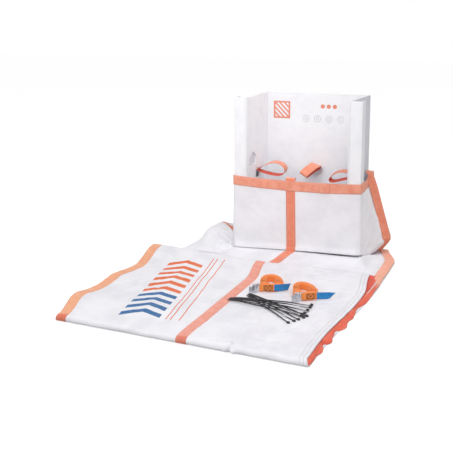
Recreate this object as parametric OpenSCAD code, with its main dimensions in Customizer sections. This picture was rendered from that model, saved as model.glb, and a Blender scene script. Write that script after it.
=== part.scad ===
// Textile rubble chute kit: a folding board hopper in a sewn bag, the flattened chute
// tube in front of it, its webbing, two lashing straps and a handful of cable ties.
// The hopper's front stands on the x axis, the chute lies towards -y, the floor is z = 0.

/* [Board insert] */
// Width of the hopper mouth, over the side panels at the front crease
opening_w = 456; // [380:1:540]
// Width of each front flap, outward from its crease
flap_w = 51; // [35:1:70]
// Depth of each return behind its flap
return_d = 54; // [35:1:80]
// Depth of the hopper from the front crease to the back panel's rear face
hopper_d = 323; // [260:1:400]
// How much wider each side stands at the rear than at the front
rear_flare = 14; // [0:1:24]
// Height of the insert
insert_h = 674; // [560:1:760]
// Thickness of the twin-wall board
board_t = 5; // [3.5:0.1:6]
// Width of each oval strap slot
slot_w = 60; // [54:1:80]
// Height of each oval strap slot
slot_h = 46; // [44:0.5:52]
// Height of the slots' centres above the floor
slot_z = 333; // [326:1:345]
// Distance of the side slots' centres behind the front crease
slot_y = 170; // [140:1:200]
// Width of each house-shaped window
window_w = 100; // [60:1:110]
// Height of each window, from its sill to its apex
window_h = 58; // [40:1:70]
// Height of the window sills above the floor
window_z = 381; // [372:1:400]

/* [Bag] */
// Height of the hem's upper edge above the floor
hem_z = 346; // [338:1:352]
// Thickness of the bag's cloth with its seams
cloth_t = 2; // [1:0.1:3]
// Outward belly of the right wall
right_belly = 88; // [40:1:110]
// Outward belly of the left wall, which leans on the slack
left_belly = 30; // [15:1:40]
// Outward belly of the rear wall
rear_belly = 45; // [20:1:80]
// Height of the fullest part of the bellies
belly_z = 84; // [70:1:120]

/* [Chute tube] */
// Thickness of the flattened lower layer
lower_t = 9; // [6:0.5:12]
// Thickness of the flattened upper layer
upper_t = 9; // [6:0.5:12]
// Clear height between the two layers, where the front band runs
layer_gap = 6; // [4.5:0.5:9]
// Height of the cloth's swells
swell_h = 7; // [3:1:14]
// Distance of the front fold from the hopper's front
fold_y = 1026; // [960:1:1100]
// Distance of the tube's open end from the hopper's front
outlet_y = 168; // [150:1:190]
// Reach of the tube to the left of the hopper's middle
tube_left = 560; // [520:1:600]
// Reach of the tube to the right of the hopper's middle
tube_right = 388; // [370:1:400]
// Height of the slack heaped beside the bag
slack_h = 100; // [60:1:120]
// Reach of the heaped slack out from the bag
slack_w = 238; // [120:1:250]

/* [Webbing] */
// Width of the chute's webbing
web_w = 40; // [30:0.5:42]
// Thickness of the chute's webbing
web_t = 2; // [1.2:0.1:2.4]
// Length of each carrying loop inside the hopper
loop_len = 136; // [100:1:150]
// Height of each carrying loop's ring
loop_h = 60; // [50:1:66]

/* [Lashing straps] */
// Width of the lashing strap
strap_w = 25; // [20:0.5:28]
// Thickness of the lashing strap
strap_t = 1.5; // [1:0.1:1.8]
// Turns in each coiled strap
coil_turns = 9; // [5:1:12]
// Half the width of a coil's eye
coil_eye = 22; // [16:1:28]
// Length of the sewn end on the buckle
sewn_len = 52; // [44:1:60]
// Length of the coloured tail
tail_len = 56; // [40:1:70]
// Radius of the cam's pin
pin_r = 2; // [1.6:0.1:2.2]
// Radius of the cam
cam_r = 5; // [4.4:0.1:5.4]
// Length of the cam's thumb lever
lever_len = 21; // [18:1:26]
// Sheet thickness of the buckle's frame
buckle_t = 2; // [1.5:0.1:2.5]

/* [Cable ties] */
// Length of a cable tie
tie_len = 300; // [260:1:320]
// Width of a cable tie
tie_w = 4.8; // [3.6:0.1:5]
// Thickness of a cable tie
tie_t = 1.3; // [1:0.1:1.6]

/* [Hidden] */
$fn = 48;

orange = [0.87, 0.36, 0.15];
white = [0.93, 0.93, 0.94];
blue = [0.07, 0.33, 0.58];
steel = [0.70, 0.71, 0.73];
black = [0.07, 0.07, 0.08];

// Rest clearance between pieces that are sewn or laid together
rest = 0.5;
// Clearance at the board's creases
crease = 0.5;
// Running clearance of the cam on its pin
running = 0.05;
// Room behind a loop's root, so that it can swing
swing_room = 0.75;

crease_x = opening_w / 2;
flap_x = crease_x + flap_w;
rear_x = crease_x + rear_flare;
stand_z = lower_t + web_t + 2 * rest;
insert_z = stand_z + rest;
insert_top = insert_z + insert_h;
flare_angle = atan(rear_flare / hopper_d);
rear_slot_x = 0;

function smooth(a, b, v) = let (t = min(1, max(0, (v - a) / (b - a)))) t * t * (3 - 2 * t);
function mix(a, b, t) = a + (b - a) * t;

// Closed sheet between two grids of points: grid a is the face that rows x columns points out of
module sheet_solid(a, b) {
    rows = len(a) - 1;
    cols = len(a[0]) - 1;
    w = cols + 1;
    k = (rows + 1) * w;
    points = concat([for (r = a) each r], [for (r = b) each r]);
    upper = [for (i = [0 : rows - 1]) for (j = [0 : cols - 1]) let (p = i * w + j)
        each [[p, p + 1, p + w + 1], [p, p + w + 1, p + w]]];
    lower = [for (f = upper) [k + f[0], k + f[2], k + f[1]]];
    ends = [for (j = [0 : cols - 1]) let (p = j, q = rows * w + j)
        each [[p + 1, p, k + p], [p + 1, k + p, k + p + 1],
              [q, q + 1, k + q + 1], [q, k + q + 1, k + q]]];
    sides = [for (i = [0 : rows - 1]) let (p = i * w, q = i * w + cols)
        each [[p, p + w, k + p + w], [p, k + p + w, k + p],
              [q + w, q, k + q], [q + w, k + q, k + q + w]]];
    polyhedron(points, concat(upper, lower, ends, sides), convexity = 6);
}

// Flat strip of thickness t along a path in the plane
function strip_outline(path, t) =
    let (n = len(path) - 1,
         normals = [for (i = [0 : n])
             let (d = path[min(n, i + 1)] - path[max(0, i - 1)])
             [-d[1], d[0]] / norm(d)])
    concat([for (i = [0 : n]) path[i] + normals[i] * t / 2],
           [for (i = [n : -1 : 0]) path[i] - normals[i] * t / 2]);

// Oval with straight top and bottom and round ends, for the strap slots
module oval(w, h) {
    for (s = [-1, 1]) translate([s * (w - h) / 2, 0]) circle(d = h);
    square([w - h, h], center = true);
}

// House-shaped window, its sill on the x axis
module house(w, h) {
    polygon([[-w / 2, 0], [w / 2, 0], [w / 2, h * 0.55], [0, h], [-w / 2, h * 0.55]]);
}

// Tab of board still hinged at the right edge of its window and pushed out through it
module window_tab(w, h) {
    hinge = board_t * 0.8;
    translate([w / 2, 0, 0]) rotate([0, -tab_turn, 0]) {
        linear_extrude(board_t) translate([-w / 2, slit]) house(w - 2 * slit, h - 2 * slit);
        translate([-2 * slit, slit, (board_t - hinge) / 2]) cube([2 * slit + hinge, h * 0.4, hinge]);
    }
}

// Board insert

slit = 1.2;
tab_turn = 3.5;
back_window_x = 168;
back_window_z = 344;
side_len = (hopper_d - board_t - crease) / cos(flare_angle);
side_window_y = 92;

module back_panel() {
    w = window_w * 0.6;
    h = window_h * 0.8;
    color(white) translate([0, hopper_d, 0]) rotate([90, 0, 0]) {
        linear_extrude(board_t) difference() {
            translate([-rear_x, insert_z]) square([2 * rear_x, insert_h]);
            translate([rear_slot_x, slot_z]) oval(slot_w, slot_h);
            translate([back_window_x, back_window_z]) house(w, h);
        }
        translate([back_window_x, back_window_z + slit]) window_tab(w, h - slit);
    }
}

// Right side panel: drawn flat along its own length, then set at the flare angle
module side_panel() {
    translate([crease_x, 0, 0]) rotate([0, 0, -flare_angle]) rotate([90, 0, -90]) {
        linear_extrude(board_t) difference() {
            translate([-side_len, insert_z]) square([side_len, insert_h]);
            translate([-slot_y, slot_z]) oval(slot_w, slot_h);
            translate([-side_window_y, window_z]) house(window_w, window_h);
        }
        translate([-side_window_y, window_z]) window_tab(window_w, window_h);
    }
}

module right_side_panel() { color(white) side_panel(); }
module left_side_panel() { color(white) mirror([1, 0, 0]) side_panel(); }

module flap() {
    translate([crease_x + crease, 0, insert_z]) cube([flap_w - crease, board_t, insert_h]);
}

module right_flap() { color(white) flap(); }
module left_flap() { color(white) mirror([1, 0, 0]) flap(); }

module return_panel() {
    translate([flap_x - board_t, board_t + crease, insert_z]) cube([board_t, return_d, insert_h]);
}

module right_return() { color(white) return_panel(); }
module left_return() { color(white) mirror([1, 0, 0]) return_panel(); }

// Bag

front_room = 0.6;
side_room = 20;
rear_room = 8;
belly_top = hem_z - web_w - 2 * rest - 4;
wall_end = hopper_d + rear_room - rest;
corner_belly = 25;
kink_y = board_t + crease + return_d + 1;
upper_wall_z = [36, 60, belly_z, 125, 160, 200, 240, belly_top - 30, belly_top, hem_z];

// Share of the full belly at height z: none at the hem, fullest at belly_z, drawn in below
function belly(z) = z > belly_z
    ? pow(sin(90 * max(0, belly_top - z) / (belly_top - belly_z)), 1.3)
    : 1 - 0.45 * pow((belly_z - z) / belly_z, 2);

// Inner face of a side wall at its top: straight past the return, then in to the rear corner
function wall_x(y) = flap_x + front_room
    - (flap_x + front_room - rear_x - side_room) * max(0, y - kink_y) / (wall_end - kink_y);

// Point of a side wall, at share q from front to rear, height z, out by d from its inner face
function side_point(q, z, d, full) =
    let (swell = full * pow(sin(180 * q), 0.8) + corner_belly * q * q)
    [wall_x(q * wall_end) + swell * belly(z) + d, q * wall_end, z];

// Point of the rear wall, at share p from left to right
function rear_point(p, z, d) =
    let (half = rear_x + side_room + cloth_t + corner_belly * belly(z))
    [mix(-half, half, p), hopper_d + rear_room + rear_belly * pow(sin(180 * p), 0.8) * belly(z) + d, z];

side_band = [for (s = [-1, 1]) (slot_y + s * web_w / 2) / wall_end];
side_q = concat([0, 0.1, kink_y / wall_end, 0.32], side_band, [0.68, 0.79, 0.9, 1]);
rear_half = rear_x + side_room + cloth_t;
rear_band_p = [for (s = [-1, 1]) (rear_half + rear_slot_x + s * web_w / 2) / (2 * rear_half)];
rear_p = concat([0, 0.1, 0.21, 0.32], rear_band_p, [0.62, 0.74, 0.87, 1]);

// Side wall from height base up; the right one stands on the tube, the left one on the floor
module side_wall(full, base) {
    levels = concat([base], upper_wall_z);
    sheet_solid([for (z = levels) [for (q = side_q) side_point(q, z, 0, full)]],
                [for (z = levels) [for (q = side_q) side_point(q, z, cloth_t, full)]]);
}

module bag_front_wall() {
    half = flap_x + front_room + cloth_t;
    color(white) translate([-half, -front_room - cloth_t, stand_z])
        cube([2 * half, cloth_t, hem_z - stand_z]);
}

module bag_right_wall() { color(white) side_wall(right_belly, stand_z); }
module bag_left_wall() { color(white) mirror([1, 0, 0]) side_wall(left_belly, 0); }

module bag_rear_wall() {
    levels = concat([0], upper_wall_z);
    color(white) sheet_solid([for (z = levels) [for (p = rear_p) rear_point(p, z, cloth_t)]],
                             [for (z = levels) [for (p = rear_p) rear_point(p, z, 0)]]);
}

// Hem: one webbing round the bag's mouth, laid on the outside of its four walls
module mouth_outline(d) {
    face_y = -front_room - cloth_t - d;
    back_y = hopper_d + rear_room + cloth_t + d;
    half = [for (y = [face_y, kink_y, back_y]) [wall_x(y) + cloth_t + d, y]];
    polygon(concat(half, [for (i = [2 : -1 : 0]) [-half[i][0], half[i][1]]]));
}

hem_out = rest + web_t;

module hem_band() {
    color(orange) translate([0, 0, hem_z - web_w]) linear_extrude(web_w) difference() {
        mouth_outline(hem_out);
        mouth_outline(rest);
    }
}

// Longitudinal bands on the bag: up the wall, over the hem and in to the slot
band_lift = hem_out + rest;
arch_r = 12;
arch_steps = [0 : 30 : 180];

// Band on a side wall: heights and outward offsets below the arch
function side_band_row(z, d, full) = [for (q = side_band) side_point(q, z, cloth_t + d, full)];

// Distance from the bag's face to the loop's outer end, bridged by the arch
side_face = wall_x(slot_y) + cloth_t;
panel_face = crease_x + rear_flare * slot_y / hopper_d;
stub_out = 7;
arch_reach = side_face + band_lift - panel_face - stub_out - swing_room - web_t;

// Arch over the hem at offset d from the band's inner face, width along y
function arch_point(a, d, y) =
    [side_face + band_lift - arch_reach / 2 + (arch_reach / 2 + d) * cos(a), y,
     hem_z + rest + (arch_r + d) * sin(a)];

module side_band_solid(full) {
    wall_rows = concat([stand_z], [for (z = upper_wall_z) if (z < belly_top - 1) z]);
    ys = [for (s = [-1, 1]) slot_y + s * web_w / 2];
    function rows(d) = concat(
        [for (z = wall_rows) side_band_row(z, rest + d, full)],
        [side_band_row(belly_top, band_lift + d, full), side_band_row(hem_z, band_lift + d, full)],
        [for (a = arch_steps) [for (y = ys) arch_point(a, d, y)]],
        [[for (y = ys) arch_point(180, d, y) - [0, 0, arch_r]]]);
    sheet_solid(rows(0), rows(web_t));
}

module right_band() { color(orange) side_band_solid(right_belly); }
module left_band() { color(orange) mirror([1, 0, 0]) side_band_solid(left_belly); }

rear_face = hopper_d + rear_room + cloth_t;
rear_arch = cloth_t + rest;

module rear_band() {
    wall_rows = concat([web_t], [for (z = upper_wall_z) if (z < belly_top - 1) z]);
    xs = [for (s = [-1, 1]) rear_slot_x + s * web_w / 2];
    function at(z, d) = [for (p = rear_band_p) rear_point(p, z, cloth_t + d)];
    function arch(a, d) = [for (x = xs) [x,
        rear_face + band_lift - rear_arch + (rear_arch + d) * cos(a),
        hem_z + rest + (arch_r + d) * sin(a)]];
    function rows(d) = concat([for (z = wall_rows) at(z, rest + d)],
        [at(belly_top, band_lift + d), at(hem_z, band_lift + d)],
        [for (a = [0 : 30 : 120]) arch(a, d)]);
    color(orange) sheet_solid(rows(web_t), rows(0));
}

// Carrying loops: a leaf-shaped ring of webbing, its root lying flat in the upper part of a slot
loop_steps = [20 : 15 : 340];

function leaf(f) = [stub_in + loop_len / 2 * (1 - cos(f)),
                    loop_h / 2 * sin(f) * (0.25 + 0.75 * pow(sin(f / 2), 1.5))];

stub_in = board_t / 2 + 3;
root_gap = web_t / 2 + 0.7;
root_up = 9;
loop_z = slot_z + root_up;

// Ring of one loop, its root at the slot and its tip along +x
module leaf_ring() {
    path = concat([[stub_in - 2, root_gap]], [for (f = loop_steps) leaf(f)], [[stub_in - 2, -root_gap]]);
    rotate([90, 0, 0]) translate([0, 0, -web_w / 2]) linear_extrude(web_w)
        polygon(strip_outline(path, web_t));
}

// Sewn root, level in the slot, which holds the ring's two ends together
module loop_root(stub) {
    outer = board_t / 2 + stub;
    thick = 2 * root_gap + web_t;
    translate([-outer, -web_w / 2, -thick / 2]) cube([outer + stub_in + 4, web_w, thick]);
}

module loop_strip(roll, rise, stub) {
    rotate([roll, -rise, 0]) leaf_ring();
    loop_root(stub);
}

// Roll about the loop's own length and rise of its tip, as each loop has set
side_roll = -12;
rear_roll = -24;
left_rise = 6;
rear_rise = -8;
right_rise = -8;
side_loop_x = panel_face - board_t / 2;

module side_loop(rise) {
    translate([side_loop_x, slot_y, loop_z]) rotate([0, 0, 180])
        loop_strip(side_roll, rise, stub_out);
}

module right_loop() { color(orange) side_loop(right_rise); }
module left_loop() { color(orange) mirror([1, 0, 0]) side_loop(left_rise); }

module rear_loop() {
    color(orange) translate([rear_slot_x, hopper_d - board_t / 2, loop_z]) rotate([0, 0, -90])
        loop_strip(rear_roll, rear_rise, rear_room - swing_room);
}

// Chute tube: lower layer, front fold and upper layer of the flattened tube

calm_z = lower_t + layer_gap + upper_t;
nose_r = 16;
nose_steps = [45, 90, 135];
far_rise = 14;
edge_t = 4;
mid_s = 0.54;
band_share = [0.045, 0.5188, 0.5614, 0.957];
tube_s = [0, band_share[0], 0.14, 0.24, 0.34, 0.43, band_share[1], band_share[2], 0.65, 0.74, 0.83, 0.91,
          band_share[3], 1];
lower_u = [0 : 0.1 : 0.95];
upper_v = [for (i = [0 : 18]) i / 18];

// Plan of the tube: how far its edges and the line of its middle band stray from straight
bend_y = -420;
upper_mid_x = -50;
upper_mid_drift = 32;
left_fold_in = 38;
left_far_out = 30;
right_fold_in = 30;
right_far_in = 14;
lower_mid_x = -53;
lower_mid_join = 38;
lower_left_in = 25;
lower_left_gather = 110;
lower_right_in = 20;
lower_right_bulge = 44;
lower_right_tuck = 75;
fold_skew = 40;
inlet_left = -38;
inlet_run = 278;

function across(left, mid, right, s) =
    s < mid_s ? mix(left, mid, s / mid_s) : mix(mid, right, (s - mid_s) / (1 - mid_s));
function upper_x(s, y) =
    let (far = smooth(bend_y, -outlet_y, y))
    across(-tube_left + left_fold_in * (1 - smooth(-fold_y, 170 - fold_y, y)) - left_far_out * far,
           upper_mid_x - upper_mid_drift * far,
           tube_right - right_fold_in * (1 - smooth(-900, -450, y)) - right_far_in * far, s);
function lower_x(s, y) =
    across(-tube_left + lower_left_in + lower_left_gather * smooth(bend_y, -60, y),
           lower_mid_x + lower_mid_join * smooth(-150, 0, y),
           tube_right - lower_right_in + lower_right_bulge * smooth(-1000, -250, y)
               - lower_right_tuck * smooth(40, 290, y), s);

function nose_y(s) = -fold_y + nose_r + fold_skew * (0.5 - s);
function inlet(s) = inlet_left + inlet_run * smooth(0.30, 0.46, s);

// Two swells of the upper layer, calm where the straps and ties lie, and a rise at its far left
swells = [[-500, 70, 1], [-830, 110, 0.8]];
function calm(x, y) = 1 - smooth(-190, -80, x) * smooth(-970, -860, y);
function swell(y, w) = w[2] * exp(-pow((y - w[0]) / w[1], 2));
function upper_top(x, y) = calm_z + swell_h * calm(x, y) * (swell(y, swells[0]) + swell(y, swells[1]))
    + far_rise * smooth(bend_y, -outlet_y, y) * (1 - smooth(-400, -160, x));
function edge(s) = smooth(0, band_share[0], s) * smooth(0, 1 - band_share[3], 1 - s);
function lower_top(s) = mix(edge_t, lower_t, edge(s));

function upper_outer(s, v) =
    let (y = mix(nose_y(s), -outlet_y, v), x = upper_x(s, y)) [x, y, upper_top(x, y)];
function upper_inner(s, v) = upper_outer(s, v) - [0, 0, mix(edge_t, upper_t, edge(s))];
function lower_plan(s, u) = let (y = mix(inlet(s), nose_y(s), u)) [lower_x(s, y), y, 0];

function nose_outer(s, a) =
    let (y = nose_y(s), top = upper_outer(s, 0)[2])
    [mix(lower_x(s, y), upper_x(s, y), a / 180), y - nose_r * sin(a), top / 2 * (1 - cos(a))];
function nose_inner(s, a) =
    let (y = nose_y(s), low = lower_top(s), high = upper_inner(s, 0)[2])
    [mix(lower_x(s, y), upper_x(s, y), a / 180), y - 4 * sin(a), mix(low, high, (1 - cos(a)) / 2)];

module chute_tube() {
    lower_rows = concat([for (u = lower_u) u], [1]);
    outer = concat([for (u = lower_rows) [for (s = tube_s) lower_plan(s, u)]],
                   [for (a = nose_steps) [for (s = tube_s) nose_outer(s, a)]],
                   [for (v = upper_v) [for (s = tube_s) upper_outer(s, v)]]);
    inner = concat([for (u = lower_rows) [for (s = tube_s) lower_plan(s, u) + [0, 0, lower_top(s)]]],
                   [for (a = nose_steps) [for (s = tube_s) nose_inner(s, a)]],
                   [for (v = upper_v) [for (s = tube_s) upper_inner(s, v)]]);
    color(white) sheet_solid(inner, outer);
}

// Band on the upper layer between two shares of its width, wrapped round the front fold
module upper_band(s0, s1) {
    function lifted(s, d) = concat(
        [for (a = nose_steps) nose_outer(s, a) + d * [0, -sin(a), -cos(a)]],
        [for (v = upper_v) upper_outer(s, v) + [0, 0, d]]);
    function rows(d) = let (p = lifted(s0, d), q = lifted(s1, d)) [for (i = [0 : len(p) - 1]) [p[i], q[i]]];
    sheet_solid(rows(rest), rows(rest + web_t));
}

module chute_left_band() { color(orange) upper_band(0, band_share[0]); }
module chute_rear_band() { color(orange) upper_band(band_share[1], band_share[2]); }

// Band along the right edge of the lower layer
module chute_right_band() {
    us = concat([for (u = lower_u) u], [1]);
    function rows(d) = [for (u = us) [for (s = [band_share[3], 1])
        lower_plan(s, u) + [0, 0, lower_top(s) + d]]];
    color(orange) sheet_solid(rows(rest + web_t), rows(rest));
}

// Front band: down the bag, round its foot and forward between the layers
module front_band() {
    face = -front_room - cloth_t;
    foot_r = 22;
    low = lower_t + rest;
    top_end = hem_z + 14;
    run_end = -fold_y + 90;
    hem_x = -22;
    wall_mid_x = -18;
    foot_x = -16;
    function row(x, y, z) = [for (s = [-1, 1]) [x + s * web_w / 2, y, z]];
    function rows(d) = concat(
        [row(hem_x, face - band_lift - d, top_end), row(hem_x, face - band_lift - d, belly_top)],
        [for (z = [belly_top - 30, 160, low + foot_r]) row(wall_mid_x, face - rest - d, z)],
        [for (a = [30, 60]) row(foot_x, face - rest - foot_r + (foot_r - d) * cos(a),
                                low + foot_r - (foot_r - d) * sin(a))],
        [for (y = [face - rest - foot_r, -90, -150, -300, -500, -700, run_end])
            row(lower_x(mid_s, y), y, low + d)]);
    color(orange) sheet_solid(rows(web_t), rows(0));
}

// Slack of the tube heaped against the bag's left wall
slack_q = [for (i = [0 : 12]) i / 12];
slack_p = [for (i = [0 : 12]) i / 12];
slack_front = -37.4;
slack_len = 330;
slack_edge = 1.2;

// Inner limit of the heap, clear of the bag's wall and its band
function slack_wall(q) = -(flap_x + front_room + cloth_t + band_lift + rest
    + left_belly * pow(sin(180 * min(1, max(0, slack_front + slack_len * q) / wall_end)), 0.8)
    + corner_belly * pow(max(0, slack_front + slack_len * q) / wall_end, 2));
// Highest beside the wall, running out to the left, to the front and to the rear
function slack_point(p, q) =
    let (reach = slack_w * pow(sin(180 * (0.3 + 0.6 * q)), 0.8),
         hump = (0.9 + 0.1 * smooth(0, 0.28, p)) * (1 - smooth(0.36, 0.92, p)),
         run = smooth(-0.15, 0.4, q) * (1 - smooth(0.75, 1.02, q)),
         fold = 1 + 0.06 * sin(900 * q + 500 * p))
    [slack_wall(q) - reach * p, slack_front + slack_len * q, slack_edge + slack_h * hump * run * fold];

module chute_slack() {
    top = [for (q = slack_q) [for (p = slack_p) slack_point(p, q)]];
    base = [for (r = top) [for (p = r) [p[0], p[1], 0]]];
    color(white) sheet_solid(top, base);
}

// Lashing straps: everything is drawn about the coil's centre, standing on z = 0

strap_gap = 0.9;
coil_long = 8;
coil_back = 34;
coil_step = strap_t + strap_gap;
coil_path = [for (i = [0 : 24 * coil_turns])
    let (a = 15 * i, r = coil_eye + coil_step * a / 360, far = sin(a) > 0 ? coil_back : 0)
        [r * cos(a), (r + coil_long + far) * sin(a)]];
coil_front = coil_eye + coil_long + coil_step * (coil_turns - 0.25);
coil_least_gap = min([for (i = [24 : len(coil_path) - 1]) norm(coil_path[i] - coil_path[i - 24])]) - strap_t;
echo(coil_least_gap = coil_least_gap);

module coil() { linear_extrude(strap_w) polygon(strip_outline(coil_path, strap_t)); }

// Front line of each strap, just clear of the coil: buckle, sewn end, tail
ply_gap = 0.5;
line_half = buckle_t / 2 + strap_t + ply_gap / 2;
line_y = -coil_front - strap_t / 2 - rest - line_half;
pin_head = 1;
foot = pin_head + running + 0.1;
frame_w = strap_w + 2 * buckle_t + 2;
plate_l = 30;
plate_x = -12;
slot_x = 14;
bar_w = 3.5;
ear_y = 6.5 + cam_r;
pin_x = -4;
pin_y = -cam_r - 2.2;

// Sewn end: a hairpin of webbing round the frame's end bar, its two plies stitched together
module sewn_end() {
    ply = (strap_t + ply_gap) / 2;
    out = buckle_t / 2 + strap_t / 2 + rest;
    bar = slot_x + bar_w / 2;
    turn = [for (a = [120 : 30 : 240]) [slot_x + 0.6 * cos(a), out * sin(a)]];
    path = concat([[bar + sewn_len, ply], [bar + 14, ply], [bar + 5, out]], turn,
                  [[bar + 5, -out], [bar + 14, -ply], [bar + sewn_len, -ply]]);
    translate([0, buckle_t / 2, (frame_w - strap_w) / 2]) linear_extrude(strap_w)
        polygon(strip_outline(path, strap_t));
}

// Tail: its far end swings back by bend
module tail(bend) {
    start = slot_x + bar_w / 2 + sewn_len + rest;
    translate([start, buckle_t / 2, (frame_w - strap_w) / 2]) linear_extrude(strap_w)
        polygon(strip_outline([for (u = [0 : 0.125 : 1]) [tail_len * u, bend * u * u]], strap_t));
}

module buckle_frame() {
    difference() {
        union() {
            translate([plate_x, 0, 0]) cube([plate_l, buckle_t, frame_w]);
            for (z = [0, frame_w - buckle_t]) translate([0, 0, z]) {
                translate([pin_x - 7, -ear_y + 6, 0]) cube([14, ear_y - 6 + buckle_t / 2, buckle_t]);
                translate([pin_x, pin_y, 0]) cylinder(r = 7, h = buckle_t);
            }
        }
        translate([pin_x, pin_y, -1]) cylinder(r = pin_r + running, h = frame_w + 2);
        translate([slot_x - 2.4, -1, (frame_w - strap_w) / 2 - rest])
            cube([4.1, buckle_t + 2, strap_w + 2 * rest]);
    }
}

module buckle_pin() {
    translate([pin_x, pin_y, 0]) {
        translate([0, 0, -running - pin_head])
            cylinder(r = pin_r, h = frame_w + 2 * (pin_head + running));
        for (z = [-running - pin_head, frame_w + running])
            translate([0, 0, z]) cylinder(r = pin_r + 1.2, h = pin_head);
    }
}

spring_h = 3;
cam_low = buckle_t + rest;
cam_h = frame_w - 2 * buckle_t - spring_h - 3 * rest;

module cam_lever() {
    translate([pin_x, pin_y, cam_low]) difference() {
        union() {
            cylinder(r = cam_r, h = cam_h);
            translate([-lever_len, -cam_r, 0]) cube([lever_len, 2.6, cam_h]);
        }
        translate([0, 0, -1]) cylinder(r = pin_r + running, h = cam_h + 2);
    }
}

module cam_spring() {
    path = [for (a = [0 : 20 : 800]) let (r = pin_r + 0.75 + 1.0 * a / 360) [r * cos(a), r * sin(a)]];
    translate([pin_x, pin_y, cam_low + cam_h + rest]) linear_extrude(spring_h)
        polygon(strip_outline(path, 0.45));
}

// Place of each strap: coil centre, turn about z, and shift of its front line along itself
cloth_z = calm_z + rest;
strap_places = [[57, -465, 22, -62], [199, -505, 28, -38]];

module at_coil(i) {
    p = strap_places[i];
    translate([p[0], p[1], cloth_z]) rotate([0, 0, p[2]]) children();
}

module at_line(i) { at_coil(i) translate([strap_places[i][3], line_y, foot]) children(); }

module first_strap_coil() { color(orange) at_coil(0) coil(); }
module first_strap_end() { color(orange) at_line(0) sewn_end(); }
module first_strap_tail() { color(blue) at_line(0) tail(14); }
module first_buckle_frame() { color(steel) at_line(0) buckle_frame(); }
module first_buckle_pin() { color(steel) at_line(0) buckle_pin(); }
module first_cam_lever() { color(steel) at_line(0) cam_lever(); }
module first_cam_spring() { color(steel) at_line(0) cam_spring(); }
module second_strap_coil() { color(orange) at_coil(1) coil(); }
module second_strap_end() { color(orange) at_line(1) sewn_end(); }
module second_strap_tail() { color(blue) at_line(1) tail(-3); }
module second_buckle_frame() { color(steel) at_line(1) buckle_frame(); }
module second_buckle_pin() { color(steel) at_line(1) buckle_pin(); }
module second_cam_lever() { color(steel) at_line(1) cam_lever(); }
module second_cam_spring() { color(steel) at_line(1) cam_spring(); }

// Cable ties: two fans of five, the upper fan crossing over the lower one

head_l = 9;
head_w = 8;
head_h = 5.6;
tie_z = calm_z + web_t + 2 * rest + 0.2;

// One tie from its tip along +x to its head, the strip's underside on z = 0
module tie(drop) {
    taper = 16;
    linear_extrude(tie_t) polygon([[0, -0.8], [taper, -tie_w / 2], [tie_len - head_l, -tie_w / 2],
                                   [tie_len - head_l, tie_w / 2], [taper, tie_w / 2], [0, 0.8]]);
    translate([tie_len - head_l - 0.01, -head_w / 2, -drop]) cube([head_l, head_w, head_h]);
}

// Each fan: place of its first tip and that tie's turn; the ties open out step by step
lower_fan = [4, -592, -46];
upper_fan = [-40, -666, -13];
fan_step = 5;
fan_gap = 0.3;

module cable_ties() {
    spread = tie_w + 1.2;
    color(black) for (i = [0 : 4]) {
        translate([lower_fan[0], lower_fan[1] + spread * i, tie_z])
            rotate([0, 0, lower_fan[2] + fan_step * i]) tie(tie_z - cloth_z);
        translate([upper_fan[0], upper_fan[1] + spread * i, tie_z + tie_t + fan_gap])
            rotate([0, 0, upper_fan[2] + fan_step * i]) tie(fan_gap / 3);
    }
}

back_panel();
left_side_panel();
right_side_panel();
left_flap();
right_flap();
left_return();
right_return();
bag_front_wall();
bag_right_wall();
bag_left_wall();
bag_rear_wall();
hem_band();
front_band();
right_band();
left_band();
rear_band();
left_loop();
rear_loop();
right_loop();
chute_tube();
chute_slack();
chute_left_band();
chute_rear_band();
chute_right_band();
first_strap_coil();
first_strap_end();
first_strap_tail();
first_buckle_frame();
first_buckle_pin();
first_cam_lever();
first_cam_spring();
second_strap_coil();
second_strap_end();
second_strap_tail();
second_buckle_frame();
second_buckle_pin();
second_cam_lever();
second_cam_spring();
cable_ties();
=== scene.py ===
"""Looks of the rubble chute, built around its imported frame. Lengths are in millimetres unless noted."""
import math

import bpy
import numpy as np
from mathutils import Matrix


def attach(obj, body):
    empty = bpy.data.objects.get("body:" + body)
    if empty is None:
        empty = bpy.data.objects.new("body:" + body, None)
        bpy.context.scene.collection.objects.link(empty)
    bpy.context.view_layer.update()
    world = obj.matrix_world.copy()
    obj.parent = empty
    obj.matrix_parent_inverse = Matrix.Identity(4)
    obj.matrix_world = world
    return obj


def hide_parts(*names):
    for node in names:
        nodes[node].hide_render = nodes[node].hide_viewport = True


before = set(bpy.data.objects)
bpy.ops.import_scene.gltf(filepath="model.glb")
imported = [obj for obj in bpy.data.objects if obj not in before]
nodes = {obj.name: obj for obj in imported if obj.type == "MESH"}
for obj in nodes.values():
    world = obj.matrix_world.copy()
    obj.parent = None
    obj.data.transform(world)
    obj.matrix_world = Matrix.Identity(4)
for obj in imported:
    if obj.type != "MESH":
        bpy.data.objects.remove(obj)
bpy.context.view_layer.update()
scene = bpy.context.scene
MM = 0.001

# Camera: fitted to the photograph, with the shift that its crop needs
camera_data = bpy.data.cameras.new("camera")
camera_data.sensor_width = 36
camera_data.lens = 63.02
camera_data.shift_y = -0.168
camera_data.clip_end = 100
camera = bpy.data.objects.new("camera", camera_data)
camera.location = (0.97413, -3.15672, 0.98794)
camera.rotation_euler = (math.radians(81.1), 0, math.radians(22.26))
scene.collection.objects.link(camera)
scene.camera = camera
scene.view_settings.view_transform = "Standard"


# Numbers

def smooth(a, b, v):
    t = np.clip((v - a) / (b - a), 0, 1)
    return t * t * (3 - 2 * t)


def mix(a, b, t):
    return a + (b - a) * t


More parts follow.
